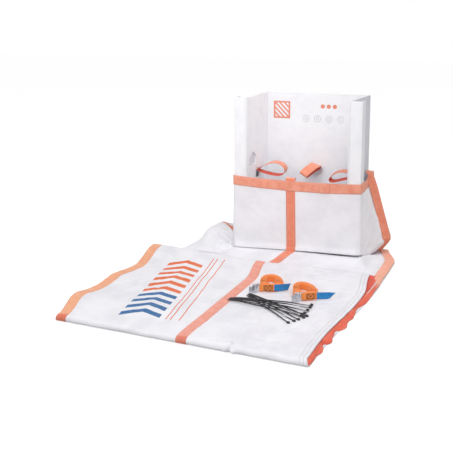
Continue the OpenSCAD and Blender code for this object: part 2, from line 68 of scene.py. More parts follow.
def noise(x, y, scale, seed, size=64):
    """Smooth value noise from -1 to 1, the same each run."""
    table = np.random.default_rng(seed).random((size, size)) * 2 - 1
    gx, gy = np.asarray(x, float) / scale + 1000, np.asarray(y, float) / scale + 1000
    ix, iy = np.floor(gx).astype(int), np.floor(gy).astype(int)
    fx, fy = gx - ix, gy - iy
    fx, fy = fx * fx * fx * (fx * (6 * fx - 15) + 10), fy * fy * fy * (fy * (6 * fy - 15) + 10)
    at = lambda i, j: table[i % size, j % size]
    low = mix(at(ix, iy), at(ix + 1, iy), fx)
    return mix(low, mix(at(ix, iy + 1), at(ix + 1, iy + 1), fx), fy)


def ridge(x, y, scale, seed):
    """Sharp folds: 1 on the fold lines, falling away on both sides."""
    return 1 - 2 * np.abs(noise(x, y, scale, seed))


def blob(d, width):
    return np.exp(-(d / width) ** 2)


def waves(v, table):
    """Sum of soft bumps, each given by its place, its run and its height."""
    return sum(by * blob(v - at, run) for at, run, by in table)


def peaks(x, y, scale, seed, start):
    """Fold lines alone: 0 up to a share start of their height, 1 on the line."""
    return np.maximum(0, ridge(x, y, scale, seed) - start) / (1 - start)


def length_along(points):
    return np.concatenate([[0], np.cumsum(np.linalg.norm(np.diff(points, axis=0), axis=1))])


def spline(points, n):
    """n points along a smooth curve through the given ones, evenly spaced."""
    p = np.array(points, float)
    q = np.vstack([2 * p[0] - p[1], p, 2 * p[-1] - p[-2]])
    t = np.linspace(0, 1, 24, endpoint=False)[:, None]
    fine = []
    for a, b, c, d in zip(q, q[1:], q[2:], q[3:]):
        fine.append(0.5 * (2 * b + (c - a) * t + (2 * a - 5 * b + 4 * c - d) * t ** 2
                           + (3 * b - a - 3 * c + d) * t ** 3))
    fine = np.vstack(fine + [p[-1:]])
    along = length_along(fine)
    at = np.linspace(0, along[-1], n)
    return np.stack([np.interp(at, along, fine[:, k]) for k in range(p.shape[1])], axis=1)


def unit(v):
    return v / np.maximum(np.linalg.norm(v, axis=-1, keepdims=True), 1e-9)


def xyz(x, y, z):
    return np.stack(np.broadcast_arrays(x, y, z), axis=-1)


def turned(p, degrees, to):
    """Points turned about the z axis and moved to a place."""
    c, s = math.cos(math.radians(degrees)), math.sin(math.radians(degrees))
    return xyz(p[..., 0] * c - p[..., 1] * s, p[..., 0] * s + p[..., 1] * c, p[..., 2]) + to


def grid_normals(p, closed=False):
    """Normals of a grid of points, along rows x columns."""
    if closed:
        wide = np.concatenate([p[:, -1:], p, p[:, :1]], axis=1)
        dv = wide[:, 2:] - wide[:, :-2]
    else:
        dv = np.gradient(p, axis=1)
    return unit(np.cross(np.gradient(p, axis=0), dv))


# Meshes

BAND_W, STRAP_W, BAND_T, CLOTH_T = 40.0, 25.0, 1.4, 1.1


def mesh_object(name, points, faces, material, lay=None, smooth_faces=True):
    mesh = bpy.data.meshes.new(name)
    mesh.from_pydata((np.asarray(points, float).reshape(-1, 3) * MM).tolist(), [], faces)
    mesh.validate()
    if lay is not None:
        attribute = mesh.attributes.new("lay", "FLOAT_VECTOR", "POINT")
        attribute.data.foreach_set("vector", (np.asarray(lay, np.float32) * MM).ravel())
    mesh.polygons.foreach_set("use_smooth", [smooth_faces] * len(mesh.polygons))
    mesh.materials.append(material)
    obj = bpy.data.objects.new(name, mesh)
    scene.collection.objects.link(obj)
    return obj


def grid_faces(rows, cols, closed=False):
    at = np.arange(rows * cols).reshape(rows, cols)
    if closed:
        at = np.concatenate([at, at[:, :1]], axis=1)
    corners = at[:-1, :-1], at[:-1, 1:], at[1:, 1:], at[1:, :-1]
    return np.stack(corners, axis=-1).reshape(-1, 4).tolist()


def place(obj, body, slot, stands_for=()):
    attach(obj, body)
    if stands_for:
        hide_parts(*stands_for)
    return obj


def sheet(name, points, lay, material, thick, slot, stands_for=(), body="chute", closed=False, side=0.0):
    """Thin cloth on a grid of points; side says on which side of the grid its thickness lies."""
    obj = mesh_object(name, points, grid_faces(*points.shape[:2], closed), material, lay)
    solid = obj.modifiers.new("thickness", "SOLIDIFY")
    solid.thickness = thick * MM
    solid.offset = side
    return place(obj, body, slot, stands_for)


def spread(width=BAND_W, cols=9):
    return np.linspace(-width / 2, width / 2, cols)


def band_grid(path, across, width=BAND_W, cols=9):
    """Grid of a strap along a path."""
    return path[:, None, :] + across[:, None, :] * spread(width, cols)[:, None]


def band_lay(points, width=BAND_W):
    """Lay coordinates of a strap: across it and along it."""
    cols = points.shape[1]
    return xyz(spread(width, cols), length_along(points[:, cols // 2])[:, None], 0)


def sew(name, points, material, stands_for=(), thick=BAND_T, body="chute", width=BAND_W):
    """A band of chute webbing on a grid of points."""
    return sheet(name, points, band_lay(points, width), material, thick, "orange_webbing", stands_for, body)


def threads(name, runs, radius, material, body, slot, sides=6):
    """Round threads along several runs of points, as one piece."""
    turn = (np.arange(sides) * 2 * math.pi / sides)[None, :, None]
    points, faces, start = [], [], 0
    for run in runs:
        run = np.array(run, float)
        tangent = unit(np.gradient(run, axis=0))
        up = np.where(np.abs(tangent[:, 2:3]) < 0.9, [[0.0, 0.0, 1.0]], [[1.0, 0.0, 0.0]])
        a = unit(np.cross(tangent, up))
        b = np.cross(tangent, a)
        skin = run[:, None] + radius * (a[:, None] * np.cos(turn) + b[:, None] * np.sin(turn))
        points.append(skin.reshape(-1, 3))
        last = (len(run) - 1) * sides
        ends = [list(range(sides))[::-1], list(range(last, last + sides))]
        faces += [[start + i for i in f] for f in grid_faces(len(run), sides, True) + ends]
        start += len(points[-1])
    return place(mesh_object(name, np.vstack(points), faces, material), body, slot)


# Materials

def srgb(*colour):
    return tuple(c / 255 / 12.92 if c < 10.3 else ((c / 255 + 0.055) / 1.055) ** 2.4 for c in colour) + (1.0,)


class Value:
    """A value in a look; each sum with it adds a math node."""

    def __init__(self, graph, socket):
        self.graph, self.socket = graph, socket

    def __add__(self, other):
        return self.graph.math("ADD", self, other)

    def __sub__(self, other):
        return self.graph.math("SUBTRACT", self, other)

    def __mul__(self, other):
        return self.graph.math("MULTIPLY", self, other)

    def __truediv__(self, other):
        return self.graph.math("DIVIDE", self, other)

    def __abs__(self):
        return self.graph.math("ABSOLUTE", self)


class Graph:
    """The nodes of a material or of the surround."""

    def __init__(self, owner):
        owner.use_nodes = True
        self.tree = owner.node_tree
        self.tree.nodes.clear()

    def put(self, socket, value):
        if isinstance(value, Value):
            self.tree.links.new(value.socket, socket)
        else:
            socket.default_value = value

    def node(self, kind, inputs=(), **settings):
        """A new node; its inputs go by name or number."""
        n = self.tree.nodes.new("ShaderNode" + kind)
        for key, value in settings.items():
            setattr(n, key, value)
        for key, value in dict(inputs).items():
            self.put(n.inputs[key], value)
        return n

    def make(self, kind, inputs=(), out=0, **settings):
        return Value(self, self.node(kind, inputs, **settings).outputs[out])

    def math(self, kind, *values):
        return self.make("Math", enumerate(values), operation=kind)

    def seen(self):
        """1 for what the camera sees, also mirrored or through something, and 0 for light that bounces."""
        rays = self.node("LightPath").outputs
        kinds = ("Camera", "Glossy", "Transmission")
        camera, glossy, through = [Value(self, rays[f"Is {kind} Ray"]) for kind in kinds]
        return self.math("MAXIMUM", camera, self.math("MAXIMUM", glossy, through))


class Look(Graph):
    """A procedural material; places in it are in metres."""

    def __init__(self, name, specular=0.4, metallic=0.0, sheen=0.0):
        self.material = bpy.data.materials.new(name)
        super().__init__(self.material)
        self.shader = self.node("BsdfPrincipled", {"Specular IOR Level": specular, "Metallic": metallic})
        self.set({"Sheen Weight": sheen})
        self.node("OutputMaterial", {0: Value(self, self.shader.outputs[0])})

    def set(self, inputs):
        for key, value in inputs.items():
            self.put(self.shader.inputs[key], value)

    def parts(self, vector):
        return [Value(self, out) for out in self.node("SeparateXYZ", {0: vector}).outputs]

    def lay(self):
        return self.make("Attribute", out="Vector", attribute_name="lay")

    def place(self):
        return self.make("TexCoord", out="Object")

    def noise(self, vector, scale, detail=3.0, rough=0.5):
        return self.make("TexNoise", {"Vector": vector, "Scale": scale, "Detail": detail, "Roughness": rough})

    def span(self, value, a, b, low=0.0, high=1.0):
        """low up to a, high from b, and a soft step between."""
        ends = {"From Min": a, "From Max": b, "To Min": low, "To Max": high}
        return self.make("MapRange", {"Value": value, **ends}, interpolation_type="SMOOTHSTEP")

    def below(self, value, a, b):
        return self.span(value, a, b, 1.0, 0.0)

    def blend(self, share, a, b):
        return self.make("Mix", {0: share, 6: a, 7: b}, 2, data_type="RGBA")

    def ripple(self, value, period):
        """Sine of a length, from 0 to 1, its period in millimetres."""
        return self.math("SINE", value * (2 * math.pi / (period * MM))) * 0.5 + 0.5

    def line(self, value, at, half, soft=0.25):
        """1 on a line of half-width half at a place, both in millimetres."""
        return self.below(abs(value - at * MM), (half - soft) * MM, (half + soft) * MM)

    def tint(self, share, *colour):
        """Lays a colour over what is there, by a share."""
        self.colour = self.blend(share, self.colour, srgb(*colour))

    def finish(self, height, distance, roughness):
        """Closes the look with its colour, a bump with a distance in millimetres, and its roughness."""
        bump = self.make("Bump", {"Distance": distance * MM, "Height": height})
        self.set({"Base Color": self.colour, "Normal": bump, "Roughness": roughness})
        return self.material


WHITE_A, WHITE_B = srgb(241, 240, 244), srgb(232, 231, 236)
# Where the bag's cloth turns under at its foot, with painted shade below it: height at the middle, and rise to
# the right
UNDER_Z, UNDER_RISE = 38.0 * MM, 0.0345


def cloth_look(name, seams=(), print_it=False, tones=(WHITE_A, WHITE_B), foot=False):
    """Coated woven cloth; seams are stitch lines at these distances from the edge in the third lay coordinate;
    foot paints shade where the bag's cloth turns under.
    """
    m = Look(name, specular=0.35, sheen=0.05)
    lay = m.lay()
    x, y, edge = m.parts(lay)
    weave = m.ripple(x, 2.2) * m.ripple(y, 2.2)
    soft, fine = m.noise(lay, 9.0, 4.0, 0.6), m.noise(lay, 45.0, 3.0, 0.55)
    m.colour = m.blend(m.span(soft, 0.35, 0.7), *tones)
    m.tint(weave * 0.1, 214, 213, 219)
    if foot:
        # painted shade: the cloth below the line where it turns under at the bag's foot is greyed
        at_x, at_y, at_z = m.parts(m.place())
        under = at_z - (at_x * UNDER_RISE + UNDER_Z)
        shade = m.span(under, -3.0 * MM, 0.5 * MM, 0.85, 0.0) * m.below(at_y, 5 * MM, 25 * MM)
        m.tint(shade, 120, 120, 127)
    if print_it:
        chevron_print(m)
    height = weave * 0.25 + fine * 2.0
    for at in seams:
        dash = m.line(edge, at, 0.8) * m.span(m.ripple(y, 4.2), 0.25, 0.45)
        m.tint(dash * 0.8, 160, 160, 167)
        height = height - m.line(edge, at, 1.8, 1.0) * 1.2
    return m.finish(height, 0.7, m.span(fine, 0.3, 0.7, 0.42, 0.62))


# Print on the tube, in metres: its middle, its turn, and the sizes of its chevrons and lines
PRINT_X, PRINT_Y, PRINT_COS, PRINT_SIN = -0.315, -0.585, 0.985, 0.17
CHEVRON_STEP, CHEVRON_BEND, CHEVRON_HALF, ROW_HALF = 0.063, 0.6, 0.072, 0.315
LINES_MM, LINE_HALF_MM, LINE_REACH = (96, 112, 142), 1.9, 0.35
INK_ORANGE, INK_BLUE = srgb(222, 99, 34), srgb(14, 93, 150)


def chevron_print(m):
    """A generic print: a row of chevrons in two colours beside three lines, on the upper layer's left half."""
    x, y, z = m.parts(m.place())
    from_x, from_y = x - PRINT_X, y - PRINT_Y
    u = from_y * PRINT_COS - from_x * PRINT_SIN
    v = from_y * PRINT_SIN + from_x * PRINT_COS
    bent = abs(v) * CHEVRON_BEND + u
    bar = m.below(abs(m.math("FRACT", (bent + ROW_HALF) / CHEVRON_STEP) - 0.5), 0.235, 0.255)
    row = m.below(abs(bent), ROW_HALF - 0.0015, ROW_HALF + 0.0005)
    chevrons = bar * row * m.below(abs(v), CHEVRON_HALF - 0.0005, CHEVRON_HALF + 0.0005)
    first, second, third = [m.line(v, at, LINE_HALF_MM, 0.3) for at in LINES_MM]
    lines = (first + second + third) * m.below(abs(u), LINE_REACH - 0.001, LINE_REACH + 0.001)
    on_top = m.span(z, 0.012, 0.016)
    worn = m.span(m.noise(m.place(), 260.0, 2.0), 0.25, 0.42, 0.75, 1.0)
    share = m.math("MINIMUM", chevrons + lines, 1.0) * on_top * worn
    blue = m.math("LESS_THAN", bent, -CHEVRON_STEP) * m.math("SUBTRACT", 1.0, lines)
    m.colour = m.blend(share, m.colour, m.blend(blue, INK_ORANGE, INK_BLUE))


def webbing_look(name, light, dark, width=BAND_W, rib=2.0, stitched=True, shade=None):
    """Woven webbing: ribs along it, picks across it, a selvedge, and stitch lines by its edges if it is sewn on.

    shade gives painted shade, darker colours from one place along y to the next: (from, to, light, dark).
    """
    m = Look(name, specular=0.25, sheen=0.25)
    m.set({"Sheen Roughness": 0.5, "Sheen Tint": (1.0, 0.75, 0.62, 1.0)})
    light, dark = srgb(*light), srgb(*dark)
    lay = m.lay()
    # painted shade: between the two places the band's colours turn to darker ones
    if shade:
        start, end, shade_light, shade_dark = shade
        painted_shade = m.below(m.parts(m.place())[1], end * MM, start * MM)
        light, dark = m.blend(painted_shade, light, srgb(*shade_light)), m.blend(painted_shade, dark, srgb(*shade_dark))
    x, y, _ = m.parts(lay)
    ribs = m.ripple(x, rib)
    weave = ribs * m.ripple(ribs * 0.0006 + y, 1.5)
    wear = m.noise(lay, 30.0, 4.0, 0.6)
    share = weave * 0.35 + m.span(wear, 0.3, 0.75, 0.0, 0.6)
    m.colour = m.blend(m.math("MINIMUM", share, 1.0), light, dark)
    off, half = abs(x), width / 2
    selvedge = m.span(off, (half - 2.0) * MM, (half - 1.0) * MM)
    m.colour = m.blend(selvedge * 0.35, m.colour, dark)
    height = weave * 0.8 + selvedge * 0.4
    for inset in (3.5, 7.5) if stitched else ():
        dash = m.line(off, half - inset, 0.55, 0.2) * m.span(m.ripple(y, 4.4), 0.25, 0.45)
        m.tint(dash * 0.7, 246, 186, 162)
        height = height - m.line(off, half - inset, 1.4, 0.8) * 0.7
    return m.finish(height, 0.5, m.span(wear, 0.3, 0.7, 0.65, 0.82))


def thread_look(name, colour, other):
    m = Look(name, specular=0.2)
    x, _, z = m.parts(m.place())
    share = m.ripple(x + z * 1.7, 2.2)
    m.colour = m.blend(share, colour, other)
    return m.finish(share, 0.25, 0.7)


dark_thread = thread_look("dark_thread", srgb(40, 34, 40), srgb(74, 62, 66))
rim_cloth = thread_look("rim_cloth", WHITE_A, WHITE_B)
white_cloth = cloth_look("white_cloth")
bag_cloth = cloth_look("bag_cloth", foot=True)
tube_cloth = cloth_look("tube_cloth", (9.0, 21.0), True, (srgb(236, 235, 240), srgb(225, 224, 230)))
webbing = webbing_look("coral_webbing", (243, 152, 124), (230, 122, 94))
hem_look = webbing_look("hem_webbing", (247, 170, 145), (232, 132, 104))
# the shade colours are painted shade: on the front face of the fold for the peach and pink bands, and where the
# right band stands under the upper layer for the red one
peach_webbing = webbing_look("peach_webbing", (250, 184, 146), (240, 158, 118),
                             shade=(-990, -1003, (234, 132, 104), (214, 104, 80)))
pink_webbing = webbing_look("pink_webbing", (246, 172, 154), (232, 138, 122),
                            shade=(-1012, -1024, (234, 138, 116), (214, 108, 88)))
red_webbing = webbing_look("red_webbing", (252, 186, 162), (242, 158, 132),
                           shade=(-215, -300, (248, 116, 90), (230, 82, 62)))
loop_webbing = webbing_look("loop_webbing", (246, 164, 136), (234, 132, 104), stitched=False)
# painted shade: the loops' inner faces get a redder, darker colour than their outer faces
loop_inside_shade = webbing_look("loop_inside_shade", (240, 104, 84), (226, 72, 56), stitched=False)
shaded_webbing = webbing_look("shaded_webbing", (232, 92, 72), (208, 62, 48))
strap_webbing = webbing_look("strap_webbing", (255, 164, 92), (255, 126, 50), STRAP_W, 1.6, False)
blue_webbing = webbing_look("blue_webbing", (48, 146, 212), (18, 102, 172), STRAP_W, 1.6, False)

# Windows of the side panels, in metres, with painted shade on their tabs
WINDOW_Y, WINDOW_HALF, WINDOW_SILL, WINDOW_RIDGE, ROOF_SLOPE = 0.092, 0.0485, 0.3815, 0.4385, 0.46


def board_look(name, print_it=False, windows=False):
    """Twin-wall board: faint flutes down its faces, cells along its cut edges, soft scuffs, and painted shade on
    its outward faces and on the window tabs.
    """
    m = Look(name)
    m.set({"Subsurface Weight": 0.4, "Subsurface Radius": (1.0, 1.0, 1.0), "Subsurface Scale": 8 * MM})
    place = m.place()
    x, y, z = m.parts(place)
    nx, ny, nz = m.parts(m.make("NewGeometry", out="True Normal"))
    flute = m.ripple(x * abs(ny) + y * abs(nx), 5.0)
    cut = m.span(abs(nz), 0.7, 0.9) * m.span(m.ripple(x + y, 5.0), 0.2, 0.45)
    scuff = m.noise(place, 14.0, 5.0, 0.65)
    m.colour = m.blend(m.span(scuff, 0.4, 0.75), srgb(246, 246, 250), srgb(238, 238, 243))
    m.tint(flute * 0.06, 214, 214, 222)
    m.tint(cut * 0.5, 190, 190, 198)
    # painted shade: faces turned outwards are greyed, most of all on the side panels
    outward = m.span(nx * m.math("SIGN", x), 0.5, 0.9)
    m.tint(outward * (0.95 if windows else 0.4), 198, 198, 206)
    if windows:
        # painted shade: the tab inside each house-shaped window is greyed
        off = abs(y - WINDOW_Y)
        inside = m.below(off, WINDOW_HALF, WINDOW_HALF + 0.0007) * m.span(z, WINDOW_SILL, WINDOW_SILL + 0.0005)
        under_roof = m.math("LESS_THAN", z, off * -ROOF_SLOPE + WINDOW_RIDGE)
        m.tint(inside * under_roof * 0.55, 196, 196, 206)
    if print_it:
        board_print(m, x, y, z)
    return m.finish(flute * 0.5 + scuff * 0.6, 0.35, m.span(scuff, 0.3, 0.7, 0.36, 0.5))


# Marks on the back panel, in millimetres, and its inner face
SQUARE_X, SQUARE_Z, SQUARE_HALVES, STRIPE = -168, 607, (40, 32), 22.5
DISCS_X, DISCS_Z, DISC_R = (26, 54, 82), 628, 9.5
RINGS_X, RINGS_Z, RINGS_R, RING_HALF = (-52, 2, 56, 110), 571, (15, 6), 0.7
INNER_FACE = 318.5


def ring(m, x, z, at_x, at_z, radius, half):
    dx, dz = x - at_x * MM, z - at_z * MM
    return m.line(m.math("SQRT", dx * dx + dz * dz), radius, half, 0.4)


def board_print(m, x, y, z):
    """Generic marks on the inner face: an orange square of stripes, orange discs and grey rings."""
    front = m.math("LESS_THAN", y, INNER_FACE * MM)
    off = m.math("MAXIMUM", abs(x - SQUARE_X * MM), abs(z - SQUARE_Z * MM))
    outer, inner = [m.below(off, (half - 0.5) * MM, (half + 0.5) * MM) for half in SQUARE_HALVES]
    orange = outer - inner * m.span(abs(m.math("FRACT", (x + z) / (STRIPE * MM)) - 0.5), 0.22, 0.26)
    for at in DISCS_X:
        disc = ring(m, x, z, at, DISCS_Z, 0, DISC_R)
        orange = m.math("MAXIMUM", orange, m.math("MINIMUM", disc + disc, 1.0))
    grey = 0.0
    for at in RINGS_X:
        for radius in RINGS_R:
            grey = m.math("MAXIMUM", ring(m, x, z, at, RINGS_Z, radius, RING_HALF), grey)
    m.tint(orange * front * 0.85, 228, 118, 66)
    m.tint(grey * front * 0.7, 120, 120, 128)


def steel_look():
    m = Look("zinc_steel", metallic=1.0)
    place = m.place()
    x, y, z = m.parts(place)
    grain = m.noise(m.make("CombineXYZ", {0: x * 0.15, 1: y * 0.15, 2: z}), 900.0, 2.0)
    blotch = m.noise(place, 90.0, 3.0)
    m.colour = m.blend(m.span(blotch, 0.35, 0.7), srgb(226, 228, 232), srgb(200, 202, 208))
    return m.finish(grain, 0.06, m.span(grain, 0.3, 0.7, 0.24, 0.42))


def nylon_look():
    """Black nylon; the third lay coordinate says where it has teeth."""
    m = Look("black_nylon", specular=0.45)
    _, y, toothed = m.parts(m.lay())
    teeth = m.ripple(y, 1.9) * m.span(toothed, 0.0004, 0.0006)
    fleck = m.noise(m.place(), 140.0, 3.0)
    m.colour = m.blend(m.span(fleck, 0.35, 0.7), srgb(34, 32, 36), srgb(56, 52, 57))
    return m.finish(teeth + fleck * 0.2, 0.35, m.span(fleck, 0.3, 0.7, 0.36, 0.55))


board = board_look("board")
board_side = board_look("board_side", windows=True)
board_back = board_look("board_back", print_it=True)
steel = steel_look()
nylon = nylon_look()


def dress(node, material, bevel=0.0):
    """Gives a carried-over CAD node its material, and small edge rounds where asked."""
    obj = nodes[node]
    obj.data.materials.clear()
    obj.data.materials.append(material)
    if bevel:
        edge = obj.modifiers.new("edges", "BEVEL")
        edge.width = bevel * MM
        edge.segments = 2
        edge.limit_method = "ANGLE"
        edge.angle_limit = math.radians(40)


BOARD_ROUND, STEEL_ROUND = 0.6, 0.3
dress("back_panel", board_back, BOARD_ROUND)
for hand in ("left", "right"):
    dress(f"{hand}_side_panel", board_side, BOARD_ROUND)
    dress(f"{hand}_flap", board, BOARD_ROUND)
    dress(f"{hand}_return", board, BOARD_ROUND)
for which in ("first", "second"):
    for part in ("buckle_frame", "buckle_pin", "cam_lever"):
        dress(f"{which}_{part}", steel, STEEL_ROUND)
    dress(f"{which}_cam_spring", steel)


# Chute tube: the flattened tube, folded over at the front. Its share s runs across it from left to right

CALM_Z, UPPER_T, LOWER_T, EDGE_T, NOSE_R, OFF_FLOOR = 24.0, 9.0, 9.0, 4.0, 16.0, 0.4
FOLD_Y, OUTLET_Y, TUBE_LEFT, TUBE_RIGHT, TUBE_W = 1026.0, 168.0, 560.0, 388.0, 940
FAR_RISE, BEND_Y, MID_S = 14.0, -420.0, 0.54
BAND_S = (0.045, 0.5188, 0.5614, 0.957)
# Far from any edge, so without stitch lines: inside the tube, and elsewhere
INSIDE, NO_SEAM = 2000, 3000
# Waves, each with its place, run and height: of the upper layer, of its left edge, of the front fold's pucker
SWELLS = ((-500, 70, 2.1), (-830, 110, 3.5))
EDGE_WAVES = ((-855, 90, 15), (-585, 66, 11), (-385, 66, -5))
PUCKER = ((113, 6, -8), (102, 7, 5), (125, 8, 4))


def across(left, mid, right, s):
    return np.where(s < MID_S, mix(left, mid, s / MID_S), mix(mid, right, (s - MID_S) / (1 - MID_S)))


def upper_x(s, y):
    far = smooth(BEND_Y, -OUTLET_Y, y)
    left = -TUBE_LEFT + 42 * (1 - smooth(-FOLD_Y - 14, 206 - FOLD_Y, y)) - 30 * far
    right = TUBE_RIGHT - 30 * (1 - smooth(-900, -450, y)) - 28 * far
    return across(left, -50 - 41 * far, right, s)


def lower_x(s, y):
    left = -TUBE_LEFT + 25 + 110 * smooth(BEND_Y, -60, y)
    right = TUBE_RIGHT - 20 + 44 * smooth(-1000, -250, y) - 68 * smooth(60, 305, y)
    return across(left, -53 + 38 * smooth(-150, 0, y), right, s)


def nose_y(s):
    return -FOLD_Y + NOSE_R + 40 * (0.5 - s)


def inlet(s):
    return -38 + 32.5 * smooth(0.165, 0.195, s) + 245.5 * smooth(0.30, 0.46, s) + 24 * smooth(0.86, 0.95, s)


def calm(x, y):
    """0 where the straps and ties lie, 1 where the cloth may swell."""
    return 1 - smooth(-190, -80, x) * smooth(-970, -860, y)


def upper_top(x, y):
    edge = waves(y, EDGE_WAVES) + 8 * smooth(-310, -200, y)
    far = FAR_RISE * smooth(BEND_Y, -OUTLET_Y, y) * (1 - smooth(-400, -160, x))
    return CALM_Z + calm(x, y) * waves(y, SWELLS) + edge * smooth(-390, -530, x) + far


def edge_share(s):
    return smooth(0, BAND_S[0], s) * smooth(0, 1 - BAND_S[3], 1 - s)


# Creases of the upper layer's right half: two ends, depth and half-width
CREASES = ((126, -1026, 113, -985, -4.0, 7), (113, -985, 105, -930, -3.2, 8), (105, -930, 104, -885, -2.4, 9),
           (133, -1010, 122, -950, 2.4, 9), (20, -904, 64, -854, -3.0, 12), (11, -827, 129, -827, -2.6, 12),
           (30, -846, 125, -846, 1.6, 12), (228, -865, 266, -771, -3.6, 9), (248, -862, 284, -770, 2.0, 11),
           (281, -828, 303, -705, -3.0, 9), (147, -936, 235, -952, -2.6, 12), (108, -180, 166, -192, -2.4, 9),
           (142, -248, 214, -242, -2.6, 9), (190, -292, 262, -284, -2.4, 10), (180, -330, 236, -320, 1.8, 10),
           (262, -380, 330, -352, -2.0, 12), (255, -560, 330, -520, -2.2, 14))
CREASE_DEPTH = 1.7


def groove(x, y, x0, y0, x1, y1, width):
    """1 along the line between two places, fading at its ends and over its width."""
    dx, dy = x1 - x0, y1 - y0
    t = ((x - x0) * dx + (y - y0) * dy) / (dx * dx + dy * dy)
    off = np.hypot(x - x0 - np.clip(t, 0, 1) * dx, y - y0 - np.clip(t, 0, 1) * dy)
    return blob(off, width) * smooth(-0.25, 0.25, t) * smooth(1.25, 0.75, t)


def creases(x, y):
    """Small folds of the upper layer: long soft ones, packing creases, and the pucker at the fold."""
    free = calm(x, y)
    rough = 1.2 * noise(x * 0.4 + y * 0.12, y, 70, 3) + 0.35 * noise(x, y, 34, 5)
    rough = rough + 1.1 * peaks(x * 0.55 + y * 0.3, y * 0.7 - x * 0.25, 85, 8, 0.72)
    rough = rough + 2.2 * noise(x, y * 0.3, 48, 11) * (1 - smooth(-FOLD_Y + 20, -FOLD_Y + 140, y))
    rough = rough * (0.2 + 0.8 * free)
    sunk = -1.5 * peaks(x * 0.35 + y * 0.1, y * 0.9 + x * 0.12, 58, 9, 0.74)
    sunk = sunk - 1.2 * peaks(x * 0.8 + y * 0.5, y * 0.6 - x * 0.5, 74, 10, 0.8)
    packed = -1.6 * blob(y + 640 + 0.05 * x, 7) - 1.6 * blob(x - 165 - 0.04 * y, 7)
    packed = packed - 1.4 * blob(x + 335 - 0.05 * y, 7)
    pucker = 7 * blob(x - 112, 8) * blob(y + 1012, 16) - 6 * blob(x - 124, 8) * blob(y + 1004, 26)
    seen = CREASE_DEPTH * sum(depth * groove(x, y, *ends, width) for *ends, depth, width in CREASES)
    kept_low = mix(np.minimum(rough, 0.2), rough, smooth(0.3, 0.8, free))
    return kept_low + packed * (0.3 + 0.7 * free) + sunk * (1 - 0.6 * free) + pucker + seen


FOOT_Y, FOOT_V = -3.6, 0.2
ROWS_LOWER = np.concatenate([np.linspace(0, FOOT_V, 24, endpoint=False), np.linspace(FOOT_V, 1, 110)])
ROWS_NOSE = np.linspace(15, 165, 11)
ROWS_UPPER = np.linspace(0, 1, 150)


def upper_rows(s):
    v = ROWS_UPPER[:, None]
    y = mix(nose_y(s), -OUTLET_Y + 4 * noise(s * TUBE_W, 0 * s, 140, 17), v)
    x = upper_x(s, y)
    hem = 1.5 * smooth(0.965, 0.972, s) + 0.9 * smooth(0.975, 0.985, v)
    return xyz(x, y, upper_top(x, y) + creases(x, y) + hem)


def nose_rows(s, inner):
    a = np.radians(ROWS_NOSE[:, None])
    y = nose_y(s)
    top = upper_rows(s)[0, :, 2]
    x = mix(lower_x(s, y), upper_x(s, y), a / math.pi)
    round_it = (1 - np.cos(a)) / 2
    if inner:
        low, high = mix(EDGE_T, LOWER_T, edge_share(s)), top - mix(EDGE_T, UPPER_T, edge_share(s))
        return xyz(x, y - 4 * np.sin(a), mix(low, high, round_it))
    wobble = (1.8 * noise(x, a * 40, 38, 21) + waves(x, PUCKER)) * np.sin(a)
    return xyz(x, y - (NOSE_R + wobble) * np.sin(a), mix(OFF_FLOOR, top, round_it))


def rise_at_bag(x, y):
    """How far the lower layer's upper ply is heaped up against the foot of the bag."""
    height = np.interp(x, [-330, -280, 0, 175, 285, 300], [0, 16, 26, 27, 28, 0])
    return height * smooth(-125, -4, y) * (y < FOOT_Y - 0.5)


def side_heap(x, y):
    """The lower layer's cloth drawn up under the bag's right wall, from its front corner to its band."""
    out = x - np.interp(y, [-10, 0, 66, 110, 178], [284, 285, 309, 321, 337])
    height = np.interp(y, [-110, -60, -10, 66, 110, 160, 200], [0, 9, 32, 25, 14, 4, 0])
    return height * smooth(38, 0, out) * smooth(-14, 0, out)


def lower_swell(x, y):
    """Height of the lower layer's wrinkles and of its heap at the bag, above its flat thickness."""
    near_bag = smooth(-330, -120, y) * (y < -25)
    swell = near_bag * (1.4 * noise(x, y, 55, 31) + 0.48 * peaks(x * 0.6, y, 70, 33, 0.6))
    swell = swell + 4 * blob(y + 45 + 0.13 * (x - 330), 9) * smooth(250, 330, x) * smooth(412, 380, x)
    return swell + np.maximum(rise_at_bag(x, y), side_heap(x, y)) - OFF_FLOOR


def lower_rows(s, inner):
    v = ROWS_LOWER[:, None]
    foot = np.minimum(inlet(s), FOOT_Y)
    ahead = np.maximum(0, (v - FOOT_V) / (1 - FOOT_V)) ** 1.5
    y = np.where(v < FOOT_V, mix(inlet(s), foot, v / FOOT_V), mix(foot, nose_y(s), ahead))
    x = lower_x(s, y)
    return xyz(x, y, mix(EDGE_T, LOWER_T, edge_share(s)) + lower_swell(x, y) if inner else OFF_FLOOR)


def outer_rows(s):
    return np.concatenate([lower_rows(s, False), nose_rows(s, False), upper_rows(s)])


def inner_rows(s):
    upper = upper_rows(s)
    upper[..., 2] -= mix(EDGE_T, UPPER_T, edge_share(s))
    return np.concatenate([lower_rows(s, True), nose_rows(s, True), upper])


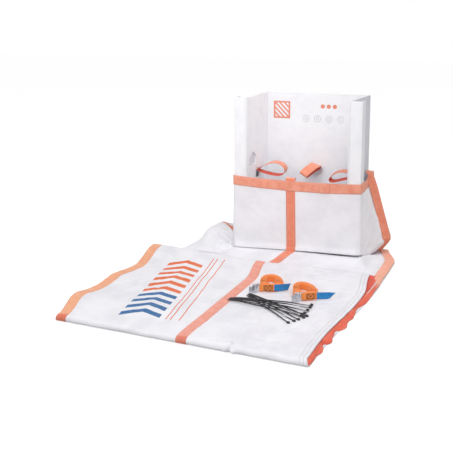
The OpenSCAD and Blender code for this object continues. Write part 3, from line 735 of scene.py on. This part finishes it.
def make_tube():
    s = np.concatenate([np.linspace(0, 0.045, 8), np.linspace(0.055, 0.945, 130), np.linspace(0.951, 1, 12)])
    outer, inner = outer_rows(s), inner_rows(s)
    rim = np.array([2.2, 0, 0])
    left, right = (outer[:, :1] + inner[:, :1]) / 2 - rim, (outer[:, -1:] + inner[:, -1:]) / 2 + rim
    points = np.concatenate([outer, right, inner[:, ::-1], left], axis=1)
    along = length_along(outer[:, 70])
    plan = np.concatenate([s, [1.0], s[::-1], [0.0]])
    # the stitch lines by the right edge are on the outside of the upper layer alone
    no_seam = INSIDE * (np.arange(len(plan)) > len(s))
    lay = xyz(plan * TUBE_W, along[:, None], (1 - plan) * TUBE_W + no_seam)
    lay[: len(ROWS_LOWER) + 4, :, 2] = NO_SEAM
    made = sheet("tube_cloth", points, lay, tube_cloth, CLOTH_T, "white_fabric", ("chute_tube",),
                 closed=True, side=1.0)


def top_band(name, s0, s1, node, look):
    """Band sewn on the upper layer and round the front fold."""
    rows = outer_rows(np.linspace(s0, s1, 9))[len(ROWS_LOWER):]
    normal = grid_normals(rows)
    normal *= np.sign(normal[-10:-9, 4:5, 2:3])
    sew(name, rows + normal, look, (node,))


# Right band: its ends, the rounding of its front end, and its bumps with place, run and height
RIGHT_REAR, RIGHT_FRONT, ROUND_Y, ROUND_R = 262, -1040, -1024, 18
BUMPS = ((-608, 24, 6), (-700, 34, 12), (-833, 26, 11), (-925, 26, 10),
         (-757, 16, -9), (-873, 14, -8), (-520, 30, -5))


def make_right_band():
    """Band along the tube's right edge: flat at the rear, standing up under the upper layer at the front."""
    y = np.linspace(RIGHT_REAR, RIGHT_FRONT, 260)
    low, top = lower_x(1.0, y), upper_x(1.0, np.clip(y, -1000, -OUTLET_Y))
    stand = smooth(-300, -470, y)[:, None]
    outer_x = low + 3 + 2.5 * noise(y, 0 * y, 62, 41) * smooth(60, 0, y) + waves(y, BUMPS)
    outer_x = np.minimum(outer_x, TUBE_RIGHT + 26)
    slope = np.gradient(outer_x, y)
    turn_x, turn_y = -1 / np.hypot(1, slope), slope / np.hypot(1, slope) * smooth(-60, 40, y)
    under = smooth(-170, -230, y)
    flat_w = mix(BAND_W, outer_x - low + 13, under)
    round_off = np.sqrt(np.clip(1 - (np.clip(ROUND_Y - y, 0, None) / ROUND_R) ** 2, 0, 1))
    rise = 11 + (upper_top(top, np.clip(y, -1005, -OUTLET_Y)) - 16) * round_off
    floor_z = 11 - 8.5 * round_off
    ruffle = 0.5 + 0.8 * noise(y, 0 * y, 52, 45)
    loose = np.abs(noise(y, 0 * y, 75, 44))
    rows = []
    for k in np.linspace(0, 1, 11):
        arch = math.sin(k * math.pi)
        flat_x, flat_y = outer_x + (1 - k) * flat_w * turn_x, y + (1 - k) * flat_w * turn_y
        flat_z = 10.2 + (4.0 * arch + 5 * k * loose) * smooth(120, 20, y) - mix(3.5, 6.5, under) * k
        flat = xyz(flat_x, flat_y, flat_z + 1.4 * smooth(0, 60, flat_y) + side_heap(flat_x, flat_y))
        out = mix(np.minimum(top - 3, low + 3), outer_x - 2, k) + 9 * arch * ruffle
        upright = xyz(out, y, mix(rise, floor_z, k) + 2.5 * math.sin(2 * k * math.pi) * ruffle * round_off)
        rows.append(mix(flat, upright, stand))
    sew("right_tube_band", np.stack(rows, axis=1), red_webbing, ("chute_right_band",))
    # the band's other ply, in the shade under the upper layer's corner, and the lower layer's rim between the two
    y = np.linspace(-150, -415, 60)
    low, under = lower_x(1.0, y), upper_x(1.0, np.clip(y, -1000, -OUTLET_Y))
    near, rim = under - 7, low - 15 - 6 * smooth(-330, -415, y)
    high = upper_top(under, np.clip(y, -1005, -OUTLET_Y)) - 7
    rows = [xyz(mix(near, rim, k), y, mix(high, 11.4, k ** 0.6)) for k in np.linspace(0, 1, 7)]
    sew("right_band_ply", np.stack(rows, axis=1), shaded_webbing, thick=1.2, width=36)
    threads("right_rim_fold", [xyz(rim + 1.2, y, 12.6)[14:]], 1.5, rim_cloth, "chute", "white_fabric")


def stage_look():
    """White floor: it glows for what sees it, and takes soft shadows."""
    material = bpy.data.materials.new("stage_white")
    g = Graph(material)
    grey = g.make("BsdfDiffuse", {0: (0.6, 0.6, 0.6, 1)})
    glow = g.make("Emission", {"Strength": g.seen() * 0.63})
    g.node("OutputMaterial", {0: g.make("AddShader", {0: grey, 1: glow})})
    return material


FLOOR_HALF = 20000
floor_corners = [[x * FLOOR_HALF, y * FLOOR_HALF, 0] for x, y in ((-1, -1), (1, -1), (1, 1), (-1, 1))]
floor = mesh_object("floor", floor_corners, [[0, 1, 2, 3]], stage_look())
make_tube()
top_band("left_tube_band", 0.0005, BAND_S[0], "chute_left_band", peach_webbing)
top_band("middle_tube_band", BAND_S[1], BAND_S[2], "chute_rear_band", pink_webbing)
make_right_band()


# Bag: one shell round the insert

FACE_X, REAR_X, HOPPER_D, KINK_Y, WALL_END = 279.6, 242.0, 323.0, 60.5, 330.5
HEM_Z, BELLY_Z, BELLY_TOP, CORNER_BELLY = 346.0, 84.0, 301.0, 25.0
RIGHT_FOLD, FOLD_Q, LEFT_BELLY, REAR_BELLY = 98.0, 0.66, 30.0, 45.0
EDGE_Z, LIP_OUT, TUCK_R, BAG_MIDDLE, JOINT_W = [28, 40, 47.5], 8.0, 14, np.array([0, 160]), 37.6
# Perimeter of the bag: shares 0-1 front, 1-2 right, 2-3 rear, 3-4 left, with the length and columns of each
SIDES = np.array([561, 346, 540, 346])
FRONT_RUN, REAR_RUN = SIDES[0], SIDES[2]
CORNERS = np.arange(5.0)
PERIMETER = np.concatenate([np.linspace(k, k + 1, n, endpoint=False) for k, n in enumerate((118, 76, 96, 76))])
PERIMETER_MM = np.interp(PERIMETER, CORNERS, np.append(0, np.cumsum(SIDES)))
LEVELS = np.concatenate([np.linspace(0, 0.18, 40, endpoint=False), np.linspace(0.18, 1, 58)])
FRONT_BAND_T, OVERLAP_T = 0.462, (0.69, 0.768)


def belly(z):
    above = np.power(np.sin(np.pi / 2 * np.clip((BELLY_TOP - z) / (BELLY_TOP - BELLY_Z), 0, 1)), 1.3)
    return np.where(z > BELLY_Z, above, 1 - 0.45 * ((BELLY_Z - z) / BELLY_Z) ** 2)


def wall_x(y):
    return FACE_X - (FACE_X - REAR_X - 20) * np.maximum(0, y - KINK_Y) / (WALL_END - KINK_Y)


def left_swell(q):
    return LEFT_BELLY * np.power(np.sin(np.pi * np.clip(q, 0, 1)), 0.8) + CORNER_BELLY * q * q


def left_place(q, z):
    return wall_x(q * WALL_END) + left_swell(q) * belly(z) + 1.0, q * WALL_END


def right_place(q, z):
    """The right wall leans out in a flat fold, furthest behind the band, and turns in under its lower edge."""
    fold = np.where(q < FOLD_Q, q / FOLD_Q, 1 - 0.75 * (np.maximum(0, q - FOLD_Q) / (1 - FOLD_Q)) ** 1.5)
    edge = mix(40.0, 84.0, fold)
    above = np.clip((BELLY_TOP + 4 - z) / (BELLY_TOP + 4 - edge), 0, 1) ** 0.9
    below = 1 - 0.7 * np.clip((edge - z) / edge, 0, 1) ** 1.6
    return wall_x(q * WALL_END) + RIGHT_FOLD * fold * np.where(z > edge, above, below) + 1.0, q * WALL_END


def front_arc(t):
    """Half a wave along the front, 0 on the other sides."""
    return np.where(t < 1, np.sin(np.pi * np.clip(t, 0, 1)), 0)


def bag_base(t):
    return np.where((t < 2) | (t > 3.98), 12.6, np.where(t < 2.05, 6.0, 0.8))


def bag_top(t):
    return HEM_Z - 8.0 * np.power(np.maximum(front_arc(t), 0), 0.75)


def bag_grid():
    t = PERIMETER[None, :]
    base = bag_base(t)
    z = mix(base, bag_top(t), LEVELS[:, None])
    share, which = t % 1.0, np.floor(t).astype(int)
    front = xyz(mix(-FACE_X - 1, FACE_X + 1, share), -1.9, z)
    right = xyz(*right_place(share, z), z)
    half = REAR_X + 22 + CORNER_BELLY * belly(z)
    swell = REAR_BELLY * np.power(np.sin(np.pi * share), 0.8) * belly(z)
    rear = xyz(mix(half, -half, share), HOPPER_D + 9 + swell, z)
    left = xyz(*left_place(1 - share, z), z) * [-1, 1, 1]
    points = np.choose(np.broadcast_to(which, z.shape)[..., None], [front, right, rear, left])
    # soft corners: pushed out a little, then averaged along the perimeter
    corner = np.min(np.abs(t[..., None] - CORNERS), axis=-1)
    out = unit(np.where(np.abs(points[..., :2]) > 0, points[..., :2] - BAG_MIDDLE, 0))
    points[..., :2] += out * (3.2 * blob(corner * SIDES[which], 7))[..., None]
    for _ in range(3):
        points = (np.roll(points, 1, axis=1) + 2 * points + np.roll(points, -1, axis=1)) / 4
    # wrinkles, outward only where the board stands close behind
    normal = -grid_normals(points, True)
    x, up = points[..., 0], points[..., 2]
    along = points[..., 1] + x
    loose = belly(up) * np.array([0.0, 1.0, 0.8, 0.45])[which] * np.sin(np.pi * share) ** 0.6
    folds = 5.0 * noise(along * 0.8 + up * 0.5, up * 0.45, 60, 51) + 2.4 * noise(along, up, 30, 52)
    folds += 1.6 * peaks(along * 0.7 - up * 0.55, up * 0.6, 64, 53, 0.5)
    taut = 0.9 + 0.9 * noise(x * 0.5, up, 75, 54) + 0.25 * peaks(x * 0.5 + up, up * 0.5, 120, 55, 0.7)
    taut = taut + smooth(70, 20, up) * (0.7 + 0.7 * noise(x, up * 0.4, 52, 56))
    # the front's lower lip stands out over the line where the cloth turns under
    over = up - np.interp(x, [-280, 0, 280], EDGE_Z)
    sunk = mix(-2.2, -16, smooth(214, 190, np.abs(x)))
    lip = np.where(over > 0, LIP_OUT * blob(over, 18), mix(LIP_OUT, sunk, smooth(0, -4, over)))
    taut = taut + np.where(which == 0, lip * smooth(0, 0.04, share) * smooth(1, 0.96, share), 0)
    taut = np.where(which == 0, np.maximum(taut, -16), 0.35 * np.maximum(taut, -1.6))
    points = points + normal * (loose * folds + taut * (1 - loose))[..., None]
    # the foot turns in under the bag
    height = np.clip(points[..., 2] - base, 0, TUCK_R)
    tuck = 13 * (1 - np.sqrt(np.clip(1 - ((TUCK_R - height) / TUCK_R) ** 2, 0, 1)))
    return points + unit(normal * [-1, -1, 0]) * tuck[..., None], normal


BAG, BAG_NORMAL = bag_grid()


def bag_at(t, z, lift):
    """Points on the bag's outside at perimeter places t and heights z, lifted off the cloth."""
    t, z = np.broadcast_arrays(np.asarray(t, float), np.asarray(z, float))
    n, share = len(PERIMETER), np.clip((z - bag_base(t)) / (bag_top(t) - bag_base(t)), 0, 1)
    level = np.interp(share, LEVELS, np.arange(len(LEVELS)))
    column = np.interp(t % 4, np.append(PERIMETER, 4.0), np.arange(n + 1))
    i, j = np.minimum(np.floor(level).astype(int), len(LEVELS) - 2), np.floor(column).astype(int)
    fi, fj = (level - i)[..., None], (column - j)[..., None]
    row = lambda g, k: mix(g[k, j % n], g[k, (j + 1) % n], fj)
    pick = lambda g: mix(row(g, i), row(g, i + 1), fi)
    return pick(BAG) + unit(pick(BAG_NORMAL)) * np.asarray(lift)[..., None]


def make_bag():
    walls = ("bag_front_wall", "bag_right_wall", "bag_left_wall", "bag_rear_wall")
    lay = xyz(PERIMETER_MM, BAG[..., 2], NO_SEAM)
    made = sheet("bag_shell", BAG, lay, bag_cloth, 1.0, "white_fabric", walls, closed=True)


def make_hem():
    w = np.linspace(0, 1, 9)[:, None]
    t = PERIMETER[None, :]
    top = bag_top(t)
    z = mix(top - BAND_W - 2 * front_arc(t), top + 0.6, w)
    over_band = 2.2 * np.where(t < 1, blob((t - FRONT_BAND_T) * FRONT_RUN, 26), 0)
    lift = 1.3 + over_band + 0.5 * noise(t * 300, 60 * w, 22, 61) + 0.35 * np.sin(np.pi * w)
    points = bag_at(t, z, lift)
    points[..., 2] += np.maximum(0, z - top)
    lay = xyz((w - 0.5) * BAND_W, PERIMETER_MM, 0)
    sheet("hem_webbing", points, lay, hem_look, 1.6, "orange_webbing", ("hem_band",), closed=True)
    # the hem's overlapping end, sewn down right of the middle
    t = np.linspace(*OVERLAP_T, 12)[None, :]
    z = mix(bag_top(t) - BAND_W - 2, bag_top(t) + 0.4, w)
    lay = xyz((w - 0.5) * BAND_W, t * FRONT_RUN, 0)
    sheet("hem_overlap", bag_at(t, z, 3.6), lay, hem_look, BAND_T, "orange_webbing")


def make_front_band():
    over = [[-22, 14, 341], [-22, 8, 350], [-22, 1, 352], [-21, -4.4, 346], [-20.5, -4.4, 335]]
    down = ((-20, 300), (-19, 250), (-18, 200), (-17, 150), (-15.5, 100), (-14.8, 70), (-14.2, 54), (-14, 44))
    ahead = ((-15, -15), (-17, -22), (-22, -32), (-30, -52), (-42, -88), (-53, -125), (-60, -170),
             (-64, -250), (-64, -330))
    wall = [[x, bag_at(0.5 + x / FRONT_RUN, z, 1.4)[1], z] for x, z in down]
    lying = [[x, y, LOWER_T + lower_swell(x, y) + 1.8] for x, y in ahead]
    path = spline(over + wall + [[-14.0, -12.4, 39.5]] + lying, 190)
    tangent = unit(np.gradient(path, axis=0))
    square = unit(xyz(-tangent[:, 1], tangent[:, 0], 0) + [1e-6, 0, 0])
    square = square * np.sign(square[:, :1] + 1e-9)
    on_floor = (smooth(-12, -45, path[:, 1]) * (path[:, 2] < 45))[:, None]
    points = band_grid(path, unit(mix(np.array([1.0, 0, 0]), square, on_floor)))
    lay = band_lay(points)
    on_wall = (path[:, 2] > 25) & (path[:, 2] < 330)
    points[on_wall, :, 1] -= 0.5 * (1 + noise(points[on_wall, :, 0] * 0.4, points[on_wall, :, 2], 30, 71))
    sheet("front_band_webbing", points, lay, webbing, 1.5, "orange_webbing", ("front_band",))
    # second ply of the band below its sewn joint
    z = np.linspace(232, 60, 50)[:, None]
    x = np.interp(z, [60, 232], [-14.5, -18.6]) + spread(JOINT_W)
    sew("front_band_joint", bag_at(0.5 + x / FRONT_RUN, z, 2.9), webbing, thick=1.3, width=JOINT_W)


def wall_band(name, node, middle, side_run, foot, inward):
    """Band up a wall of the bag, over its hem and in towards the slot."""
    t = middle + spread() / side_run
    hem = HEM_Z - BAND_W
    z = np.concatenate([np.linspace(foot, hem - 6, 46), np.linspace(hem, HEM_Z + 1, 10)])[:, None]
    wall = bag_at(t, z, 1.3 + 2.2 * smooth(hem - 14, hem - 2, z))
    turn = np.radians(np.linspace(12, 168, 12))[:, None, None]
    arch = wall[-1] + np.array(inward) / 2 * (1 - np.cos(turn)) + np.array([0, 0, 12.0]) * np.sin(turn)
    sew(name, np.concatenate([wall, arch]), webbing, (node,))


def make_right_bag_band():
    """The right band, taut from the slot over the hem down to the wall's fold, and turned in under it."""
    path = spline([[244, 170, 351], [251, 171, 361], [264, 174, 369], [277, 177, 362], [286, 178, 332],
                   [298, 178, 298], [322, 178, 215], [343, 178, 144], [359, 178, 86], [356, 181, 70],
                   [340, 188, 46], [318, 198, 18]], 130)
    twist = smooth(0.02, 0.2, np.linspace(0, 1, len(path)))[:, None]
    lean = mix(np.array([0.0, 1.0, 0.0]), np.array([0.70, 0.71, 0.0]), twist)
    tangent = unit(np.gradient(path, axis=0))
    width = unit(lean - tangent * np.sum(lean * tangent, axis=1, keepdims=True))
    sew("right_band_webbing", band_grid(path, width), webbing, ("right_band",), thick=1.5)


SLOT_Y = 170
make_bag()
make_hem()
make_front_band()
make_right_bag_band()
wall_band("left_band_webbing", "left_band", 4 - SLOT_Y / WALL_END, WALL_END, 60, (26, 0, 0))
wall_band("rear_band_webbing", "rear_band", 2.5, REAR_RUN, 4, (0, -5.5, 0))


# Slack of the tube, heaped against the bag's left wall

SLACK_H, SLACK_FRONT, SLACK_LEN, SLACK_LAY = 86.0, -78.0, 372.0, (260, 400)


def slack_wall(y):
    return -(FACE_X + 5.5 + left_swell(np.clip(y, 0, WALL_END) / WALL_END))


def slack_reach(y):
    return np.interp(y, [-78, -43, 7, 80, 150, 200, 250, 294], [214, 236, 220, 196, 184, 164, 130, 84])


def slack_height(x, y):
    """Height of the heaped cloth: highest beside the wall, running out to the left and to the front."""
    p = np.clip((slack_wall(y) - x) / slack_reach(y), 0, 1)
    hump = (0.95 + 0.05 * smooth(0, 0.28, p)) * (1 - smooth(0.5, 0.98, p))
    run = smooth(-80, 85 + 45 * (1 - smooth(0.12, 0.42, p)), y) * (1 - smooth(135, 275, y))
    loose = np.sqrt(np.clip(hump * run, 0, 1)) * smooth(0, 0.1, p)
    crumple = 9 * (ridge(x * 0.6 + y * 0.45, y * 0.5 - x * 0.35, 72, 81) - 0.5)
    crumple = crumple + 5 * (ridge(x * 0.8, y, 44, 82) - 0.45) + 2 * noise(x, y, 20, 83)
    # two folds that run down towards the bag's front corner
    down = (x + 364) * 0.411 + (y - 40) * 0.911
    fold = (-24 * blob(down, 4.2) + 8 * blob(down - 12, 8)) * smooth(-380, -366, x)
    crest = 6 * blob((x + 383) * 0.45 + (y - 112) * 0.89, 10) * smooth(-410, -380, x)
    edge = 10.4 * smooth(-20, -60, y) * smooth(-450, -415, x) + 0.9
    return np.maximum(SLACK_H * hump * run + (crumple + fold + crest) * loose, 0) + edge


def make_slack():
    q, p = np.meshgrid(np.linspace(0, 1, 130), np.linspace(0, 1, 110), indexing="ij")
    y = SLACK_FRONT + SLACK_LEN * q
    x = slack_wall(y) - slack_reach(y) * p
    heap, lay = xyz(x, y, slack_height(x, y)), xyz(p * SLACK_LAY[0], q * SLACK_LAY[1], NO_SEAM)
    made = sheet("slack_cloth", heap, lay, white_cloth, CLOTH_T, "white_fabric", ("chute_slack",))
    # the left band's loose length, lying over the heap
    path = spline([[-316, 90], [-333, 100], [-352, 113], [-378, 132], [-402, 152]], 30)
    x, y = path[:, :1] + 0.5 * spread(), path[:, 1:] - 0.86 * spread()
    sew("left_band_end", xyz(x, y, slack_height(x, y) + 2.2), webbing)


make_slack()


# Carrying loops

STUB_IN, ROOT_Z, ROOT_HALF, HUMP_FROM = 5.5, 346.5, 1.15, 8
SLOT_X = 232.87


def make_loop(which, origin, heading, length, height, tip, arch, roll, stub,
              early=1.0, root_roll=0.0, drift=0, sway=0):
    """Ring of webbing through a slot.

    tip and arch lift its end and its middle, drift and sway shift them sideways; early says how near the root
    the arch peaks; roll turns the webbing over and root_roll is its share in the slot.
    """
    f = np.radians(np.linspace(16, 344, 120))
    ring_u = STUB_IN + length / 2 * (1 - np.cos(f))
    ring_v = height / 2 * np.sin(f) * (0.14 + 0.86 * np.power(np.abs(np.sin(f / 2)), 1.15))
    root = np.linspace(-stub - 2.5, STUB_IN - 2, 8)
    u = np.concatenate([root, ring_u, root[::-1]])
    v = np.concatenate([np.full(8, ROOT_HALF), ring_v, np.full(8, -ROOT_HALF)])
    out = np.clip(u / length, 0, 1)
    away = smooth(0.02, 0.45, out)
    hump = np.sin(np.pi * np.clip((u - HUMP_FROM) / (length - HUMP_FROM), 0, 1) ** early)
    turn = np.radians(roll) * mix(root_roll, 1, away)
    path = xyz(u, drift * away * out + sway * hump - v * np.sin(turn),
               ROOT_Z + tip * out + arch * hump + v * np.cos(turn))
    width = xyz(0, np.cos(turn), np.sin(turn))
    points = band_grid(turned(path, heading, origin), turned(width, heading, 0))
    # the ring's inner side has painted shade, and its outer side the plain loop webbing
    made = sew(f"{which}_loop_webbing", points, loop_inside_shade, (f"{which}_loop",), 1.6, f"{which}_loop")
    made.data.materials.append(loop_webbing)
    made.modifiers["thickness"].material_offset = 1


make_loop("left", (-SLOT_X, SLOT_Y, 0), 0, length=130, height=76, tip=8, arch=6, roll=6, stub=6.0)
make_loop("right", (SLOT_X, SLOT_Y, 0), 180, length=122, height=52, tip=-17, arch=11, roll=-9, stub=5.0)
make_loop("rear", (0, 320.5, -2), -90, length=122, height=32, tip=-12, arch=18, roll=-31, stub=2.0,
          early=0.62, root_roll=0.1, drift=-23, sway=14)


# Lashing straps

STRAP_T, COIL_EYE, COIL_LONG, COIL_BACK, COIL_STEP, TURNS = 1.5, 22.0, 8.0, 34.0, 2.4, 9
CLOTH_Z, FOOT, LINE_Y = 24.5, 1.15, -55.0
BUCKLE_SLOT, BAR_W, SEWN_LEN, TAIL_LEN, FRAME_W, BUCKLE_T = 14.0, 3.5, 52.0, 56.0, 31.0, 2.0
BOX_FROM, BOX_TO, BOX_INSET, BARS_AT, BAR_INSET, STITCH_R = 19, 41, 3, (15.0, 45.5), 1.5, 0.75
LEVER_END, LEVER_FACE, RIDGE_Z, RIDGE_LEN, RIDGE_STEP, RIDGE_R = -22.8, -12.3, 3.7, 20.1, 2.4, 0.7
# Each strap: place of the coil, turn, shift of the buckle's line, swing and slant of the tail, seed
STRAPS = {"first": (57, -465, 22, -62, 14.0, 2.0, 90), "second": (199, -505, 28, -38, -3.0, 7.0, 91)}


def make_strap(which, cx, cy, turn, shift, back, slant, seed):
    body = f"{which}_strap"

    def put(p):
        return turned(p, turn, [cx, cy, CLOTH_Z])

    def put_line(p):
        return put(np.array(p, float) + [shift, LINE_Y, FOOT])

    def strip(part, points, material, slot, on):
        node = f"{which}_strap_{part}"
        lay = band_lay(points, STRAP_W)
        return sheet(f"{which}_{part}_webbing", on(points), lay, material, STRAP_T - 0.2, slot, (node,), body)

    def upright(plan, low, lean=(0, 0, 1.0)):
        path = xyz(plan[:, 0], plan[:, 1], low + STRAP_W / 2)
        return band_grid(path, np.broadcast_to(lean, path.shape), STRAP_W, 7)

    a = np.radians(np.arange(0, 360 * TURNS + 1, 8.0))
    r = COIL_EYE + COIL_STEP * a / (2 * math.pi) + 0.22 * noise(a * 3, 0 * a, 1.3, seed)
    coil = np.stack([r * np.cos(a), (r + COIL_LONG + COIL_BACK * (np.sin(a) > 0)) * np.sin(a)], axis=-1)
    strip("coil", upright(coil, 0.0), strap_webbing, "strap_webbing", put)

    ply, out, bar = (STRAP_T + 0.5) / 2, BUCKLE_T / 2 + STRAP_T / 2 + 0.5, BUCKLE_SLOT + BAR_W / 2
    low, bend = (FRAME_W - STRAP_W) / 2, np.radians(np.arange(100, 261, 16))
    ends = np.array([[bar + SEWN_LEN, ply], [bar + 30, ply], [bar + 14, ply], [bar + 5, out]])
    around = np.stack([BUCKLE_SLOT + 0.6 * np.cos(bend), out * np.sin(bend)], axis=-1)
    hairpin = np.vstack([spline(ends, 30), around, spline(ends[::-1] * [1, -1], 30)]) + [0, BUCKLE_T / 2]
    strip("end", upright(hairpin, low), strap_webbing, "strap_webbing", put_line)

    k = np.linspace(0, 1, 40)
    along = mix(-5, TAIL_LEN, k)
    swing = back * np.clip(along / TAIL_LEN, 0, 1) ** 2
    tail = np.stack([bar + SEWN_LEN + 0.5 + along, BUCKLE_T / 2 + swing], axis=-1)
    droop = xyz(0.3 * smooth(0.6, 1, k), 0.3 * math.copysign(1, back) * smooth(0.7, 1, k), 1)
    cut = lambda p: put_line(p + xyz(slant * k[:, None] ** 3 * np.linspace(-1, 1, 7), 0, 0))
    strip("tail", upright(tail, low, unit(droop)), blue_webbing, "blue_webbing", cut)

    # crossed box of stitches through the sewn end, and bars of stitches on both sides of it
    face = BUCKLE_T / 2 - ply - STRAP_T / 2 - 0.35
    line = lambda p, q: [[mix(p[0], q[0], i / 10), face, mix(p[1], q[1], i / 10)] for i in range(11)]
    x0, x1, z0, z1 = bar + BOX_FROM, bar + BOX_TO, low + BOX_INSET, low + STRAP_W - BOX_INSET
    box = [(x0, z0), (x1, z0), (x1, z1), (x0, z1)]
    runs = [line(p, q) for p, q in zip(box, box[1:] + box[:1])] + [line(box[0], box[2]), line(box[3], box[1])]
    runs += [line((bar + at, low + BAR_INSET), (bar + at, low + STRAP_W - BAR_INSET)) for at in BARS_AT]
    threads(f"{which}_box_stitch", map(put_line, runs), STITCH_R, dark_thread, body, "strap_webbing")

    # thumb ridges across the cam lever
    across_lever = RIDGE_Z + RIDGE_LEN * np.linspace(0, 1, 9)
    ridges = [xyz(LEVER_END + RIDGE_STEP * i, LEVER_FACE, across_lever) for i in range(5)]
    threads(f"{which}_lever_ridges", map(put_line, ridges), RIDGE_R, steel, f"{which}_lever", "steel")


for which, numbers in STRAPS.items():
    make_strap(which, *numbers)


# Cable ties

TIE_LEN, TIE_W, TIE_T, HEAD_L, HEAD_W, HEAD_H, TIE_Z = 300.0, 4.8, 1.3, 10.5, 9.2, 6.6, 27.2
TIP_LEN, TIE_EDGE, EDGE_SHARE, TEETH = 16, 0.35, 0.16, (24, 262)
HEAD_EDGE, HEAD_CORNER, SLOT_DEEP, SLOT_XS, SLOT_HALF = 0.9, 1.1, 2.2, (3.0, 5.4), 2.6
TIE_STEP = 6.0
# Each fan: place of its first tip, height, drop of the heads, lift of the middles, turns and rolls of its ties
FANS = ((4, -592, TIE_Z, TIE_Z - CLOTH_Z, 0.0, (-41.5, -37.5, -34.5, -30.5, -28), (48, -66, 72, -55, 64)),
        (-40, -666, TIE_Z + TIE_T + 0.3, 0.1, 3.2, (-10.5, -6.5, -2, 3, 6.5), (70, -52, 62, -74, 46)))


def tie_parts(bow, roll, lift):
    """Points, faces and lay of one tie along +x: a bevelled strip with a pointed tip, rolled over and lifted."""
    x = np.concatenate([np.linspace(0, TIP_LEN, 6), np.linspace(20, TIE_LEN - HEAD_L, 56)])[:, None]
    half = np.where(x < TIP_LEN, mix(0.9, TIE_W / 2, np.clip(x / TIP_LEN, 0, 1)), TIE_W / 2)
    turn = np.radians(roll) * (1 - smooth(205, 275, x)) * smooth(-20, 30, x)
    rise = 1.7 * np.abs(np.sin(turn)) + lift * smooth(0, 60, x) * (1 - smooth(200, 285, x))
    low, high, shy = TIE_EDGE, TIE_T - TIE_EDGE, 1 - EDGE_SHARE
    section = np.array([(-1, low), (-1, high), (-shy, TIE_T), (shy, TIE_T),
                        (1, high), (1, low), (shy, 0), (-shy, 0)])
    w, h = half * section[:, 0], section[:, 1] - TIE_T / 2
    points = xyz(x, bow * np.sin(np.pi * x / TIE_LEN) + w * np.cos(turn) - h * np.sin(turn),
                 TIE_T / 2 + rise + w * np.sin(turn) + h * np.cos(turn))
    rows, n = points.shape[:2]
    ends = [list(range(n)), list(range((rows - 1) * n, rows * n))[::-1]]
    faces = [f[::-1] for f in grid_faces(rows, n, True)] + ends
    lay = xyz(w, x, ((x > TEETH[0]) & (x < TEETH[1])) * np.array([0, 0, 1.0, 1.0, 0, 0, 0, 0]))
    return points.reshape(-1, 3), faces, lay.reshape(-1, 3)


def head_parts(drop):
    """Head: a block with cut edges and corners, and its slot sunk into the top."""
    half, x0, n, points = HEAD_W / 2, TIE_LEN - HEAD_L, 8, []
    for z, inset in ((0.0, HEAD_EDGE), (HEAD_EDGE, 0.0), (HEAD_H - HEAD_EDGE, 0.0), (HEAD_H, HEAD_EDGE)):
        for px, py in ((0, -half), (HEAD_L, -half), (HEAD_L, half), (0, half)):
            sx, sy = 1 if px == 0 else -1, 1 if py < 0 else -1
            x, y = x0 + px + sx * inset, py + sy * inset
            cut = [[x + sx * HEAD_CORNER, y, z - drop], [x, y + sy * HEAD_CORNER, z - drop]]
            points += cut[::-1] if sx == sy else cut
    for z, narrow in ((HEAD_H, 1.0), (HEAD_H - SLOT_DEEP, 0.955)):
        for px, py in ((0, -1), (1, -1), (1, 1), (0, 1)):
            points.append([x0 + SLOT_XS[px], py * SLOT_HALF * narrow, z - drop])
    faces = grid_faces(4, n, True) + [list(range(n))[::-1]]
    top, slot, sunk = 3 * n, 4 * n, 4 * n + 4
    for i in range(4):
        after = (i + 1) % 4
        faces += [[top + 2 * i, top + 2 * i + 1, slot + i],
                  [top + 2 * i + 1, top + (2 * i + 2) % n, slot + after, slot + i]]
    faces += [[slot + i, slot + (i + 1) % 4, sunk + (i + 1) % 4, sunk + i] for i in range(4)]
    faces.append([sunk + i for i in range(4)])
    return np.array(points), faces, np.zeros((len(points), 3))


def make_ties():
    points, faces, lays, count = [], [], [], 0
    for x, y, z, drop, lift, turns, rolls in FANS:
        for i, (turn, roll) in enumerate(zip(turns, rolls)):
            for p, part_faces, lay in (tie_parts(1.2 * math.sin(2.1 * i + z), roll, lift), head_parts(drop)):
                points.append(turned(p, turn, [x, y + TIE_STEP * i, z]))
                faces += [[count + k for k in f] for f in part_faces]
                lays.append(lay)
                count += len(p)
    made = mesh_object("tie_bundle", np.vstack(points), faces, nylon, np.vstack(lays), False)
    place(made, "ties", "black_nylon", ("cable_ties",))


make_ties()


# Light: an even surround, whiter where it is seen than where it lights, and soft lamps.
# Each lamp: name, place, aim, watts, size, spread in degrees

LAMPS = (("key", (-0.45, -3.5, 2.4), (0.0, -0.2, 0.25), 42.0, 2.2, 180),
         ("top", (0.1, -1.0, 2.9), (0.0, -0.35, 0.2), 9.0, 2.0, 180),
         ("side", (1.1, -0.3, 2.9), (0.35, 0.1, 0.1), 23.0, 1.2, 180),
         ("inside", (0.42, -0.95, 1.45), (-0.25, 0.14, 0.50), 0.36, 0.5, 38))


def make_light():
    scene.world = bpy.data.worlds.new("surround")
    g = Graph(scene.world)
    lit, white = [g.make("Background", {0: (1, 1, 1, 1), 1: strength}) for strength in (0.6, 1.0)]
    g.node("OutputWorld", {0: g.make("MixShader", {0: g.seen(), 1: lit, 2: white})})
    for name, where, aim, power, size, spread in LAMPS:
        lamp = bpy.data.lights.new(name, "AREA")
        lamp.energy = power
        lamp.size = size
        lamp.spread = math.radians(spread)
        light = bpy.data.objects.new(name, lamp)
        light.location = where
        aim = np.array(aim) - np.array(where)
        tilt = math.acos(-aim[2] / np.linalg.norm(aim))
        light.rotation_euler = (tilt, 0, math.atan2(aim[0], -aim[1]) + math.pi)
        scene.collection.objects.link(light)


make_light()
